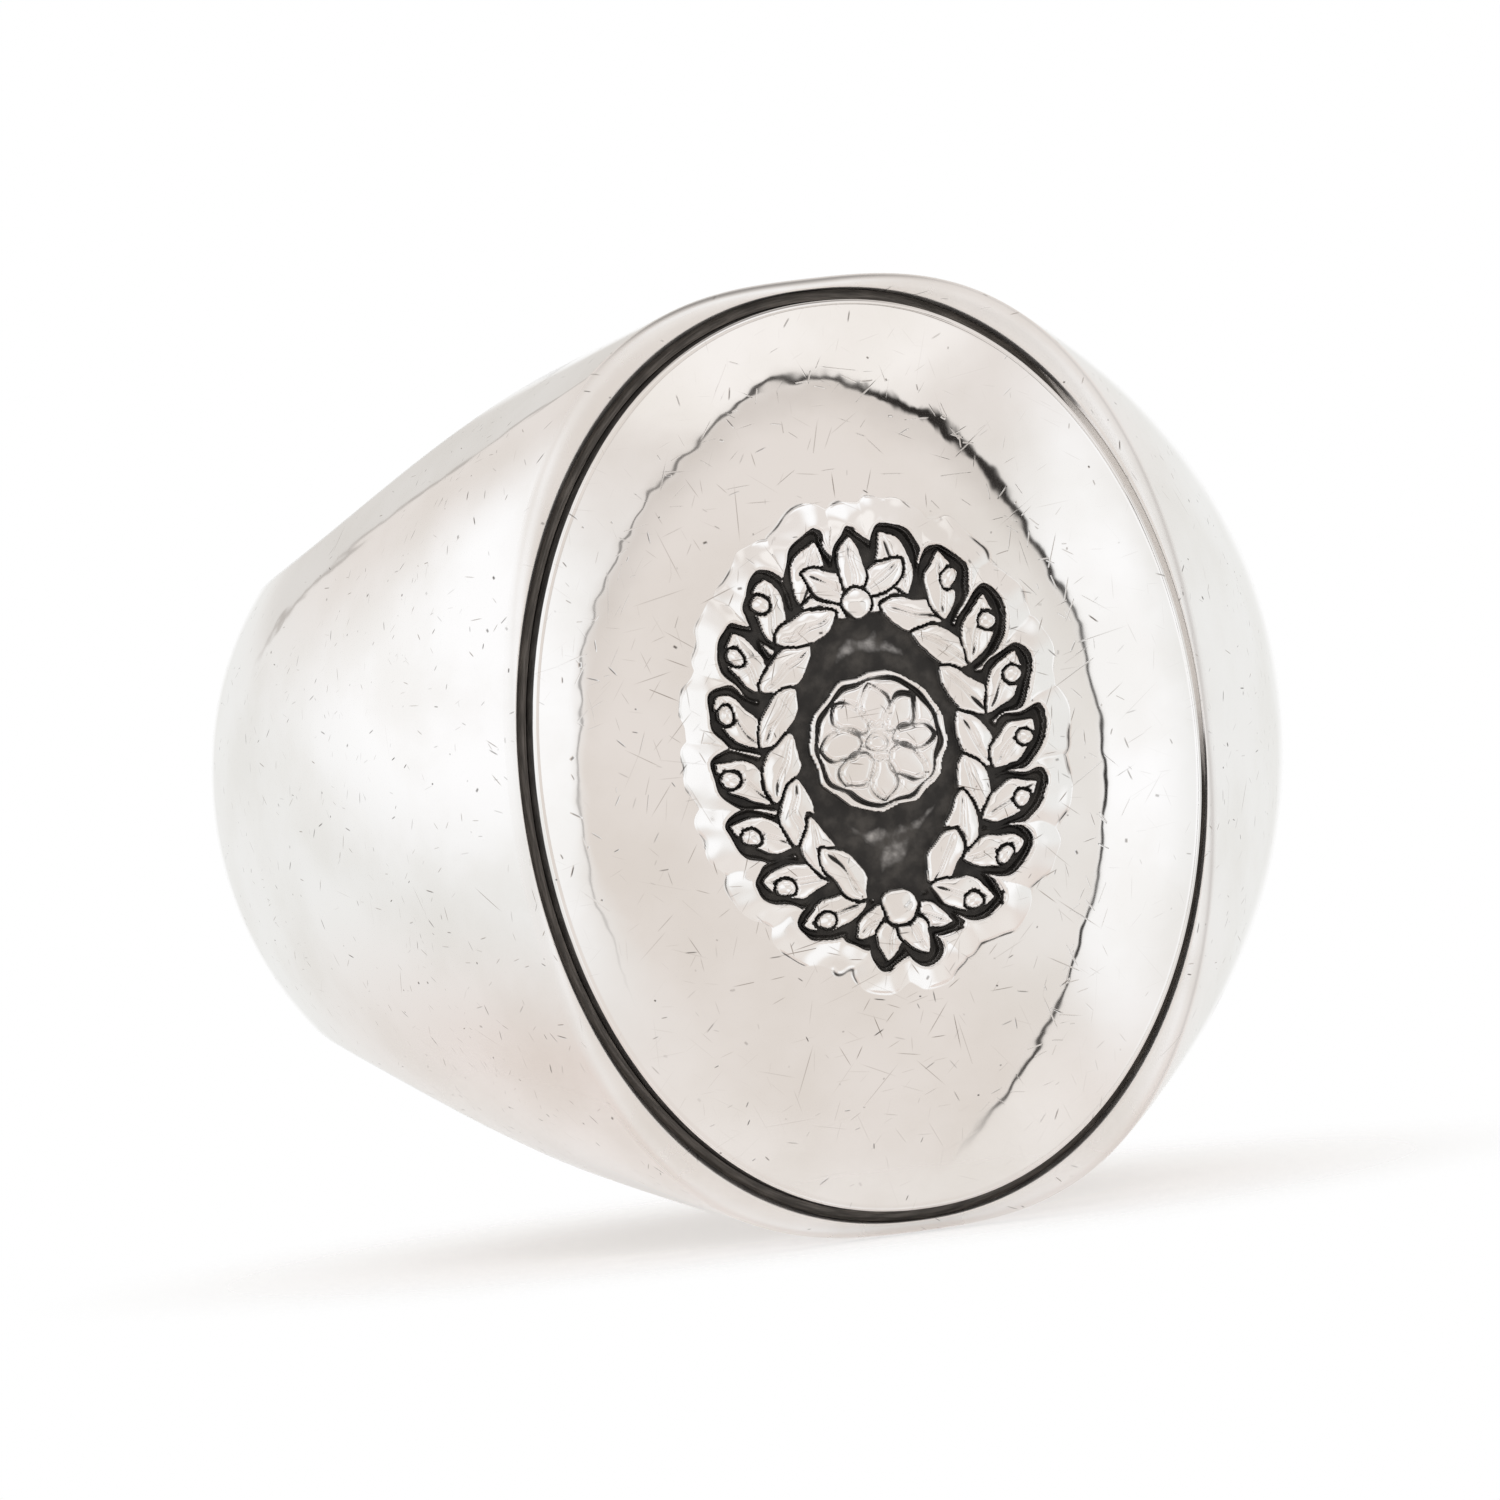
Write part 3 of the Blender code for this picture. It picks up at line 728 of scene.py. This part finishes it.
half_widths = section_half_width(np.array([HEAD_ANGLE, math.pi]))
print("the section's oval, before the bore cuts it, is %.2f mm long at the head and %.2f mm at the back"
      % tuple(2 * half_widths))

# %% The shank
COLUMNS = np.linspace(0, 1, 65)
HEAD_ROWS, HOOP_ROWS, EDGE_ROWS, LIP_ROWS = 30, 110, 8, 9
HOOP_CROWDING = 1.6
TABLE_STEPS = 20001
BORE_FLAT_START = 20
LIP_SHARPNESS = 0.72
LIP_SATIN = 0.7
BORE_TOLERANCE = 0.01


def quarter_oval(halves, height):
    """A quarter of an oval parallel to the face."""
    turn = COLUMNS * math.pi / 2
    across = halves[0] * np.cos(turn) ** (2 / OVAL_FULLNESS)
    across[-1] = 0.0
    return np.stack([across, np.full_like(turn, -height), halves[1] * np.sin(turn)], -1)


def lip_rows(rim, below):
    """From the groove's edge to the rim: a Bezier curve with its corner where the shoulder's line goes on.

    The corner lies no further out along the finger than the rim does.
    """
    inner = quarter_oval(OVAL_HALVES, LIP_HEIGHT)
    rise = rim - below
    corner = rim - rise * (LIP_SHARPNESS * LIP_ROUND / rise[:, 1:2])
    corner[:, 2] = np.minimum(corner[:, 2], rim[:, 2])
    way = np.linspace(0, 1, LIP_ROWS)[:-1, None, None]
    return (1 - way) ** 2 * inner + 2 * way * (1 - way) * corner + way**2 * rim


def lengths(points, axis):
    """Running length along an axis of a grid of points."""
    steps = np.linalg.norm(np.diff(points, axis=axis), axis=-1)
    start = np.zeros_like(np.take(steps, [0], axis=axis))
    return np.concatenate([start, np.cumsum(steps, axis=axis)], axis=axis)


def shank_quarter():
    """The quarter's patches: the seat's middle, the outer skin with the lip, and the bore."""
    table = np.linspace(HEAD_ANGLE, SWING_END, TABLE_STEPS)
    bore_start = np.interp(-EDGE_RADIUS, section_centre(table), table)
    head = np.linspace(HEAD_ANGLE, bore_start, HEAD_ROWS + 1)[:-1]
    hoop = bore_start + (math.pi - bore_start) * np.linspace(0, 1, HOOP_ROWS + 1) ** HOOP_CROWDING
    skin = sections(np.concatenate([head, hoop]), COLUMNS)
    skin[HEAD_ROWS, -1] = (0.0, -EDGE_RADIUS, skin[HEAD_ROWS, -1, 2])
    skin[-1, :, 0] = 0.0
    skin = np.concatenate([quarter_oval(OVAL_HALVES, SEAT_HEIGHT)[None], lip_rows(skin[0], skin[1]), skin])
    bore = bore_rows(skin[-HOOP_ROWS - 1:, -1], EDGE_ROWS)
    bore[-1, :, 0] = 0.0
    along = lengths(skin, 0)
    flat = np.stack([along.mean(1, keepdims=True) + 0 * along, lengths(skin, 1)], -1)
    bore_flat = np.stack([along[-HOOP_ROWS - 1:, -1:] + 0 * bore[..., 0],
                          -lengths(bore, 1) - BORE_FLAT_START], -1)
    middle = np.concatenate([[(0.0, -SEAT_HEIGHT, 0.0)], skin[0]])
    spokes = np.arange(1, len(COLUMNS))
    seat = np.stack([0 * spokes, spokes, spokes + 1], -1)
    return [(middle, seat, middle[:, [0, 2]]),
            (skin.reshape(-1, 3), grid_faces(*skin.shape[:2]), flat.reshape(-1, 2)),
            (bore.reshape(-1, 3), grid_faces(*bore.shape[:2]), bore_flat.reshape(-1, 2))]


def mirrored(patches):
    """The patches and their images left, below and both; an odd image has its faces turned round."""
    images = []
    for left, below in ((1, 1), (-1, 1), (1, -1), (-1, -1)):
        for points, faces, flat in patches:
            turned = faces if left * below > 0 else faces[:, ::-1]
            images.append((points * (left, 1, below), turned, flat * (left, below)))
    return images


def add_shank():
    """The quarter, mirrored and joined, with its satin parts marked.

    The bore, told by its radius, is satin from the mandrel, and the lip above the rim is partly so from wear.
    """
    points, faces, flat = join(mirrored(shank_quarter()))
    in_bore = np.hypot(points[:, 0], points[:, 1]) < BORE_RADIUS + BORE_TOLERANCE
    on_lip = points[:, 1] < -RIM_HEIGHT - WELD
    satin = np.where(on_lip, LIP_SATIN, np.where(in_bore, 1.0, 0.0))
    add_piece("shank_surface", points, faces, flat, SHANK_SILVER, ["shank"], satin=satin)


add_shank()

# %% [markdown]
# ## The face plate
#
# The plate is pressed into a low dome, and it stands a little above the head, so its edge shows as a wall
# beside the groove, black partly from sulphide and partly with painted shade. A squashed sphere would do
# for a first look. The formula here is a paraboloid,
# because its tilt grows evenly from the middle to the edge and so it reflects the tent without a kink. The
# plate is an oval grid: down its wall, over its edge, along the dome and into the pocket for the plaque.

# %% The face plate's formula
plaque_low, plaque_high = box_mm("crest_plaque")
PLATE_EDGE_ROUND = 0.08
PLATE_RISE = 0.5
PLATE_DOME = 1.1
PLAQUE_HALVES = np.array([3.8, 4.8])
PLAQUE_LIFT = 0.28
PLAQUE_TURN = math.radians(-1.5)
POCKET_HEIGHT = -plaque_high[1]
PLATE_EDGE_HEIGHT = LIP_HEIGHT + PLATE_RISE
CROWN_HEIGHT = PLATE_EDGE_HEIGHT + PLATE_DOME
DOME_HALVES = PLATE_HALVES - PLATE_EDGE_ROUND
OVAL_STEPS, ELLIPSE = 512, 2.0
RUBBED_SIDE = math.radians(21)
RUBBED_SPAN = (0.85, 0.985)


def dome_height(x, z):
    """The crown's height less the square of the distance as a share of the dome's halves."""
    return CROWN_HEIGHT - PLATE_DOME * ((x / DOME_HALVES[0]) ** 2 + (z / DOME_HALVES[1]) ** 2)


def oval(halves, fullness=OVAL_FULLNESS):
    """An oval from the front, as x and z: an ellipse made fuller at its sides by a power of the cosine."""
    way = np.linspace(0, math.tau, OVAL_STEPS, endpoint=False)
    across = np.sign(np.cos(way)) * np.abs(np.cos(way)) ** (2 / fullness)
    return np.stack([halves[0] * across, halves[1] * np.sin(way)], -1)


def turned_to_plaque(across, along):
    """From the plaque's own right and up to x and z on the face."""
    cosine, sine = math.cos(PLAQUE_TURN), math.sin(PLAQUE_TURN)
    return across * cosine + along * sine, PLAQUE_LIFT - across * sine + along * cosine


def smooth(value, start, end):
    """A smooth step from 0 at the start to 1 at the end."""
    share = np.clip((value - start) / (end - start), 0, 1)
    return share * share * (3 - 2 * share)


def rubbed_share():
    """How far the blackening has been rubbed off round the oval: a smooth step of the angle from one side."""
    way = np.linspace(0, math.tau, OVAL_STEPS, endpoint=False)
    return smooth(np.cos(way - RUBBED_SIDE), *RUBBED_SPAN)


print("the plate's crown is %.2f mm above the lip" % (CROWN_HEIGHT - LIP_HEIGHT))

# %% The face plate
# The wall's black is partly silver sulphide and partly painted shade of the narrow groove beside it.
WALL_BLACK_AND_SHADE = 0.92
WALL_ROWS, ROUND_ROWS, DOME_ROWS = 5, 7, 60


def plate_points():
    """Rows of the plate, and how black: sulphide and painted shade on its wall, less over its edge as a cube.
    """
    outline, edge = oval(PLATE_HALVES), oval(DOME_HALVES)
    pocket = np.stack(turned_to_plaque(*oval(PLAQUE_HALVES, ELLIPSE).T), -1)
    wall = np.linspace(SEAT_HEIGHT, PLATE_EDGE_HEIGHT - PLATE_EDGE_ROUND, WALL_ROWS)
    turn = np.linspace(0, math.pi / 2, ROUND_ROWS)[1:-1]
    share = np.linspace(0, 1, DOME_ROWS)[:, None, None]
    over = outline + (edge - outline) * (1 - np.cos(turn))[:, None, None]
    dome = edge + (pocket - edge) * share
    flat = np.concatenate([np.repeat(outline[None], WALL_ROWS, 0), over, dome, pocket[None]])
    rise = dome_height(edge[:, 0], edge[:, 1]) - wall[-1]
    height = np.concatenate([wall[:, None] + 0 * rise, wall[-1] + np.sin(turn)[:, None] * rise,
                             dome_height(dome[..., 0], dome[..., 1]),
                             np.full((1, OVAL_STEPS), POCKET_HEIGHT)])
    black = np.concatenate([np.full(WALL_ROWS, WALL_BLACK_AND_SHADE), WALL_BLACK_AND_SHADE * (1 - np.sin(turn)) ** 3,
                            np.zeros(DOME_ROWS + 1)])
    points = np.stack([flat[..., 0], -height, flat[..., 1]], -1)
    return points, flat, black[:, None] * (1 - rubbed_share())


def add_plate():
    """The plate's rows as a closed mesh: quads between the rows, and a cap on the first and the last."""
    points, flat, black = plate_points()
    rows = len(points)
    flat = flat.reshape(-1, 2)
    loop = np.arange(OVAL_STEPS)[None]
    last = loop[:, ::-1] + (rows - 1) * OVAL_STEPS
    faces = [grid_faces(rows, OVAL_STEPS, closed=True)[:, ::-1], loop, last]
    crease = np.repeat(np.isin(np.arange(rows), (0, rows - 2, rows - 1)), OVAL_STEPS)
    add_piece("signet_plate_surface", points.reshape(-1, 3), faces, [flat[face] for face in faces],
              PLATE_SILVER, ["signet_plate"], black.reshape(-1), crease)


add_plate()

# %% [markdown]
# ## The blackened groove
#
# The groove between the plate and the head's lip is blackened with silver sulphide, and polishing takes the
# black off again wherever the wheel reaches. A painted line would stay flat, so the fill is a closed ring of
# its own, with a top that sinks in the middle as a fill does. Its colour is streaked along the groove, as a
# cloth leaves it.

# %% The groove's sulphide
FILL_BLACK, FILL_GREY, FILL_RUBBED = "#5E5A56", "#8A847E", "#F2EFEC"
STREAK_MM, STREAK_FADE = (0.6, 0.045), (0.35, 0.75)
FILL_ROUGHNESS, STREAK_ROUGHNESS = 0.6, -0.15
STREAK_STRENGTH, STREAK_DEPTH_MM = 0.5, 0.01


def groove_sulphide():
    """Matt black silver sulphide, rubbed to dark grey in streaks that run along the groove."""
    fill = bpy.data.materials.new("silver_sulphide_fill")
    fill.use_nodes = True
    tree = fill.node_tree
    flat = add(tree, "UVMap", uv_map=SURFACE_MAP)
    drawn_out = add(tree, "VectorMath", [flat, (*STREAK_MM, 1.0)], operation="DIVIDE")
    streaks = add(tree, "TexNoise", {"Vector": drawn_out, "Scale": 1.0, "Detail": 3.0})
    worn = add(tree, "MapRange", [streaks, *STREAK_FADE], **SMOOTH)
    black = add(tree, "Attribute", output="Fac", attribute_name=BLACKENING)
    colour = add(tree, "Mix", {"Factor": worn, "A": linear(FILL_BLACK), "B": linear(FILL_GREY)}, **COLOURS)
    colour = add(tree, "Mix", {"Factor": black, "A": linear(FILL_RUBBED), "B": colour}, **COLOURS)
    rough = add(tree, "Math", [worn, STREAK_ROUGHNESS, FILL_ROUGHNESS], operation="MULTIPLY_ADD")
    bump = add(tree, "Bump", {"Height": streaks, "Strength": STREAK_STRENGTH,
                              "Distance": STREAK_DEPTH_MM * MM})
    for socket, value in (("Base Color", colour), ("Roughness", rough), ("Normal", bump)):
        tree.links.new(value, tree.nodes["Principled BSDF"].inputs[socket])
    return fill


GROOVE_SULPHIDE = groove_sulphide()
print("sulphide with %d nodes" % len(GROOVE_SULPHIDE.node_tree.nodes))

# %% The blackened groove
INLAY_HEIGHT = -box_mm("groove_inlay")[0][1]
FIT_GAP = 0.015
MENISCUS = 0.05
TOP_COLUMNS = 11
RUBBED_EDGE, RUBBED_SOFTNESS = 1.15, 0.15


def add_groove():
    """A ring whose section is a channel fill: two walls, a floor and a top that dips by a parabola.

    At the rubbed side the fill comes up to the lip, where the silver has been burnished over it, and its
    black narrows from the outer edge inwards.
    """
    outer, inner = oval(OVAL_HALVES - FIT_GAP), oval(PLATE_HALVES + FIT_GAP)
    way = np.linspace(0, 1, TOP_COLUMNS)[:, None, None]
    top = outer + (inner - outer) * way
    rubbed = rubbed_share()
    dip = (INLAY_HEIGHT - MENISCUS * 4 * way * (1 - way))[..., 0] + (LIP_HEIGHT - INLAY_HEIGHT) * rubbed
    low = np.full((2, OVAL_STEPS), SEAT_HEIGHT + FIT_GAP)
    ground = np.concatenate([outer[None], top, inner[None], outer[None]])
    height = np.concatenate([low[:1], dip, low])
    points = np.stack([ground[..., 0], -height, ground[..., 1]], -1)[:-1]
    rows = len(points)
    first = np.stack([np.arange(OVAL_STEPS), np.roll(np.arange(OVAL_STEPS), -1)], -1)
    last = first + (rows - 1) * OVAL_STEPS
    faces = [grid_faces(rows, OVAL_STEPS, closed=True)[:, ::-1], np.concatenate([first, last[:, ::-1]], 1)]
    along = np.linspace(0, math.tau * PLATE_HALVES.mean(), OVAL_STEPS, endpoint=False)
    across = np.arange(rows)[:, None] * GROOVE_WIDTH / TOP_COLUMNS
    flat = np.stack([along + 0 * across, across + 0 * along], -1).reshape(-1, 2)
    edges = np.repeat(np.isin(np.arange(rows), (0, 1, rows - 2, rows - 1)), OVAL_STEPS)
    black = smooth(way[..., 0], RUBBED_EDGE * rubbed - RUBBED_SOFTNESS, RUBBED_EDGE * rubbed)
    black = np.concatenate([black[:1], black, black[-1:]]).reshape(-1)
    add_piece("groove_fill", points.reshape(-1, 3), faces, [flat[face] for face in faces],
              GROOVE_SULPHIDE, ["groove_inlay"], black, edges)


add_groove()

# %% [markdown]
# ## The emblem
#
# The emblem is struck with a steel die: its ground is pressed below the face, its leaves stand up to the
# face again, and a bright wall runs round the outline. The ground is then blackened and the high parts are
# polished clean. It could be displaced by an image, but drawn as distances it stays sharp at any size: each
# leaf is a lens shape, each bead a circle, and the relief is a function of how far a point is from the
# nearest one. The design is a laurel wreath round a rosette.

# %% Shapes of the emblem


def rotated(across, along, middle, angle):
    """A point's place in the frame of a shape that has its middle and its long axis at an angle."""
    x, y = across - middle[0], along - middle[1]
    return x * math.sin(angle) - y * math.cos(angle), x * math.cos(angle) + y * math.sin(angle)


def lens_distance(x, y, length, half_width):
    """Signed distance to a lens shape, which is where two equal circles overlap."""
    radius = (length**2 / 4 + half_width**2) / (2 * half_width)
    offset, tip = radius - half_width, length / 2
    x, y = np.abs(x), np.abs(y)
    at_tip = (y - tip) * offset > x * tip
    return np.where(at_tip, np.hypot(x, y - tip), np.hypot(x + offset, y) - radius)


def waves(x, y, length, seed, count=24, rates=(0.6, 1.6)):
    """Random unevenness of about -1 to 1: sine waves in random directions, over the root of their number."""
    random = np.random.default_rng(seed)
    angle, phase = random.uniform(0, math.tau, (2, count))
    rate = math.tau / length * random.uniform(*rates, count)
    total = sum(np.sin(r * (x * math.cos(a) + y * math.sin(a)) + p) for a, p, r in zip(angle, phase, rate))
    return total / math.sqrt(count)


print("a lens of 1.2 x 0.6 mm is %.1f mm deep in its middle" % -lens_distance(0.0, 0.0, 1.2, 0.3))

# %% The emblem's design
WREATH_HALVES, LEAF_PAIRS, LEAF_SPAN = (2.22, 3.02), 8, (152, 16)
LEAF_LENGTH, LEAF_HALF_WIDTH, LEAF_SPREAD = 1.28, 0.31, math.radians(36)
BERRY_HALVES, BERRY_PAIRS, BERRY_SPAN, BERRY_RADIUS = (2.86, 3.7), 7, (30, 140), 0.16
# Each knot is its middle and radius. Each fan is its foot, its heading, its leaves' turns from that in
# degrees, and their length and half width.
KNOTS = [((0.0, -3.12), 0.34), ((0.0, 2.62), 0.26)]
TOP_FAN = ((0.0, 2.7), math.pi / 2, (-58, 58, 0), 1.15, 0.27)
FOOT_FAN = ((0.0, -3.15), -math.pi / 2, (-66, 66, -24, 24), 1.05, 0.25)
MEDALLION_RADIUS = 1.3
PETALS, PETAL_LENGTH, PETAL_HALF_WIDTH, PETAL_START = 8, 0.86, 0.27, 0.26
SEED = 7


def leaf_at(foot, angle, length, half_width):
    """Middle, angle, length and half width of a leaf that grows from its foot."""
    middle = np.array(foot) + 0.5 * length * np.array([math.cos(angle), math.sin(angle)])
    return middle, angle, length, half_width


def wreath_leaves():
    """Leaves in pairs along two branches, from the top down, so that each pair lies over the one above."""
    leaves = []
    for step in np.radians(np.linspace(*LEAF_SPAN, LEAF_PAIRS)):
        for side in (1, -1):
            stem = (side * WREATH_HALVES[0] * math.sin(step), -WREATH_HALVES[1] * math.cos(step))
            heading = math.atan2(WREATH_HALVES[1] * math.sin(step), side * WREATH_HALVES[0] * math.cos(step))
            leaves += [leaf_at(stem, heading + turn, LEAF_LENGTH, LEAF_HALF_WIDTH)
                       for turn in (LEAF_SPREAD, -LEAF_SPREAD)]
    return leaves


def leaf_fan(foot, heading, turns, length, half_width):
    """Leaves that spread from one foot, turned from a heading by angles in degrees."""
    return [leaf_at(foot, heading + math.radians(turn), length, half_width) for turn in turns]


def berries():
    """Middle and radius of each berry, in pairs up an oval outside the wreath's."""
    way = np.radians(np.linspace(*BERRY_SPAN, BERRY_PAIRS))
    return [((side * BERRY_HALVES[0] * math.sin(step), -BERRY_HALVES[1] * math.cos(step)), BERRY_RADIUS)
            for step in way for side in (1, -1)]


def rosette():
    """Petals that grow outwards from a small circle, evenly turned from straight up."""
    turns = np.arange(PETALS) * math.tau / PETALS + math.pi / 2
    feet = PETAL_START * np.stack([np.cos(turns), np.sin(turns)], -1)
    return [leaf_at(foot, turn, PETAL_LENGTH, PETAL_HALF_WIDTH) for foot, turn in zip(feet, turns)]


LEAVES = wreath_leaves() + leaf_fan(*TOP_FAN) + leaf_fan(*FOOT_FAN)
ROSETTE = rosette()
BEADS = berries() + KNOTS
print("%d leaves, %d petals and %d beads" % (len(LEAVES), len(ROSETTE), len(BEADS)))

# %% [markdown]
# A die is cut by hand, so its lines waver, and what it strikes is then worn: the open ground is rubbed
# greyer than the corners between leaves. The relief could be sculpted, but as a sum of a few heights each
# depth has a name and can be tried out by itself.

# %% Heights of the wreath and the medallion
GROUND_SINK, FAR_AWAY = 0.32, 9.0
LEAF_EDGE, LEAF_RIDGE, RIB_DEPTH, RIB_WIDTH, RIB_FADE = -0.15, -0.06, 0.1, 0.035, (0.05, 0.6)
CUT_WIDTH, INCISED_WIDTH, INCISED_DEPTH = 0.06, 0.045, 0.14
DISC_TOP, DISC_FALL, EYE_RADIUS, RIM_LINE = -0.055, 0.05, 0.17, 0.12


def rounded_top(share):
    """Height of a leaf or bead below the face: from its edge to its ridge as a root of the share inside."""
    return LEAF_EDGE + (LEAF_RIDGE - LEAF_EDGE) * np.sqrt(np.clip(share, 0, 1))


def laid_over(height, surface, distance):
    """A shape's surface laid over what is there, with a narrow margin cut round it down to the ground."""
    return np.where(distance < 0, surface, np.where(distance < CUT_WIDTH, -GROUND_SINK, height))


def wreath_height(across, along):
    """Height of the leaves and beads below the face, and the distance to the nearest of them.

    Each is laid over those before it, and each leaf has a groove for its midrib.
    """
    nearest = np.full(across.shape, FAR_AWAY)
    height = np.full(across.shape, -GROUND_SINK)
    for middle, angle, length, half_width in LEAVES:
        x, y = rotated(across, along, middle, angle)
        distance = lens_distance(x, y, length, half_width)
        share = -distance / half_width
        rib = RIB_DEPTH * np.exp(-((x / RIB_WIDTH) ** 2)) * smooth(share, *RIB_FADE)
        height = laid_over(height, rounded_top(share) - rib, distance)
        nearest = np.minimum(nearest, distance)
    for middle, radius in BEADS:
        distance = np.hypot(across - middle[0], along - middle[1]) - radius
        height = laid_over(height, rounded_top(-distance / radius), distance)
        nearest = np.minimum(nearest, distance)
    return height, nearest


def medallion_height(across, along):
    """Height of the low domed disc in the middle, with a rosette, its eye and a rim cut into it as lines."""
    radius = np.hypot(across, along)
    line = np.minimum(np.abs(radius - EYE_RADIUS), np.abs(radius - MEDALLION_RADIUS + RIM_LINE))
    for middle, angle, length, half_width in ROSETTE:
        x, y = rotated(across, along, middle, angle)
        line = np.minimum(line, np.abs(lens_distance(x, y, length, half_width)))
    cut = INCISED_DEPTH * np.exp(-((line / INCISED_WIDTH) ** 2))
    disc = DISC_TOP - DISC_FALL * (radius / MEDALLION_RADIUS) ** 4 - cut
    return np.where(radius < MEDALLION_RADIUS, disc, -GROUND_SINK)


print("leaves and medallion stand up to %.2f mm above the ground" % (GROUND_SINK + max(LEAF_RIDGE, DISC_TOP)))

# %% The emblem's relief
GROUND_MARGIN, STEEP_WIDTH, HALO_WIDTH, HALO_RISE = 0.1, 0.12, 0.58, 0.1
# How far the cut of leaves and margins, the wear and the hammering waver, and the length of each one's waves.
HAND_CUT, MARGIN_CUT, WEAR_REACH, HAMMERED = 0.032, 0.03, 0.03, 0.004
HAND_MM, MARGIN_MM, PATCH_MM, HAMMER_MM = 0.8, 0.9, 1.1, 0.4
CREASE_WIDTH, CREASE_DEPTH, CREASE_BLACK, CREASE_WEAR = 0.025, 0.02, 0.6, (-0.6, 0.6)
BLACK_DEPTHS, HAMMER_DEPTHS = (-0.145, -0.21), (0.0, -0.1)
OPEN_WEAR, OPEN_SPAN = 0.46, (0.08, 0.5)
EDGE_FADE = (0.0, 0.02)


def emblem_relief(across, along):
    """Height below the face and blackening at points of the plaque.

    Outside the outermost leaves the ground rises steeply to a rim that stands a little above the face, and
    the rim falls away outwards in an even slope, so that it catches the light as a bright halo. A fine crease
    marks where it meets the face. What lies deep is black, and rubbed greyer where the ground is open.
    """
    bent = (across + HAND_CUT * waves(across, along, HAND_MM, SEED + 3),
            along + HAND_CUT * waves(across, along, HAND_MM, SEED + 4))
    height, nearest = wreath_height(*bent)
    height = np.maximum(height, medallion_height(*bent))
    inside = np.hypot(across / WREATH_HALVES[0], along / WREATH_HALVES[1]) < 1
    margin = GROUND_MARGIN - MARGIN_CUT * waves(across, along, MARGIN_MM, SEED)
    out = np.where(inside, 0.0, nearest - margin)
    wall = ((GROUND_SINK + HALO_RISE) * smooth(out, 0.0, STEEP_WIDTH) - GROUND_SINK
            - HALO_RISE * np.clip((out - STEEP_WIDTH) / (HALO_WIDTH - STEEP_WIDTH), 0, 1))
    height = np.maximum(height, wall)
    worn = waves(across, along, PATCH_MM, SEED + 2)
    crease = np.exp(-(((out - HALO_WIDTH) / CREASE_WIDTH) ** 2)) * smooth(worn, *CREASE_WEAR)
    black = smooth(height + WEAR_REACH * worn, *BLACK_DEPTHS)
    open_ground = np.minimum(nearest, np.abs(np.hypot(across, along) - MEDALLION_RADIUS))
    black = black * (1 - OPEN_WEAR * smooth(open_ground, *OPEN_SPAN))
    hammered = HAMMERED * waves(across, along, HAMMER_MM, SEED + 1) * smooth(height, *HAMMER_DEPTHS)
    height = height - CREASE_DEPTH * crease + hammered
    fade = smooth(1 - np.hypot(across / PLAQUE_HALVES[0], along / PLAQUE_HALVES[1]), *EDGE_FADE)
    return fade * height, fade * np.clip(np.maximum(black, CREASE_BLACK * crease), 0, 1)


print("the rim round the emblem stands %.2f mm above the face" % HALO_RISE)

# %% The emblem
RELIEF_STEPS = (276, 350)


def add_emblem():
    """An oval patch on the dome: a square grid pressed into the oval, with a skirt and a bottom.

    Its top is held at the height of the solid's front.
    """
    side = [np.linspace(-1, 1, steps + 1) for steps in RELIEF_STEPS]
    s, t = np.meshgrid(*side)
    across = PLAQUE_HALVES[0] * s * np.sqrt(1 - t**2 / 2)
    along = PLAQUE_HALVES[1] * t * np.sqrt(1 - s**2 / 2)
    height, black = emblem_relief(across, along)
    x, z = turned_to_plaque(across, along)
    rim = np.maximum(np.abs(s), np.abs(t)) == 1
    height = np.minimum(dome_height(x, z) + np.where(rim, 0, height), -plaque_low[1])
    points = np.stack([x, -height, z], -1).reshape(-1, 3)
    number = np.arange(points.shape[0]).reshape(s.shape)
    loop = np.concatenate([number[0, :-1], number[:-1, -1], number[-1, :0:-1], number[:0:-1, 0]])
    bottom = points[loop].copy()
    bottom[:, 1] = -POCKET_HEIGHT - FIT_GAP
    low = np.arange(len(loop)) + len(points)
    skirt = np.stack([loop, low, np.roll(low, -1), np.roll(loop, -1)], -1)
    faces = [grid_faces(*s.shape)[:, ::-1], skirt, low[None, ::-1]]
    points = np.concatenate([points, bottom])
    flat = points[:, [0, 2]]
    black = np.concatenate([black.reshape(-1), np.ones(len(loop))])
    crease = np.zeros(len(points), bool)
    crease[loop], crease[low] = True, True
    add_piece("emblem_relief", points, faces, [flat[face] for face in faces], RELIEF_SILVER,
              ["crest_plaque", "crest_blackening"], black, crease)


add_emblem()
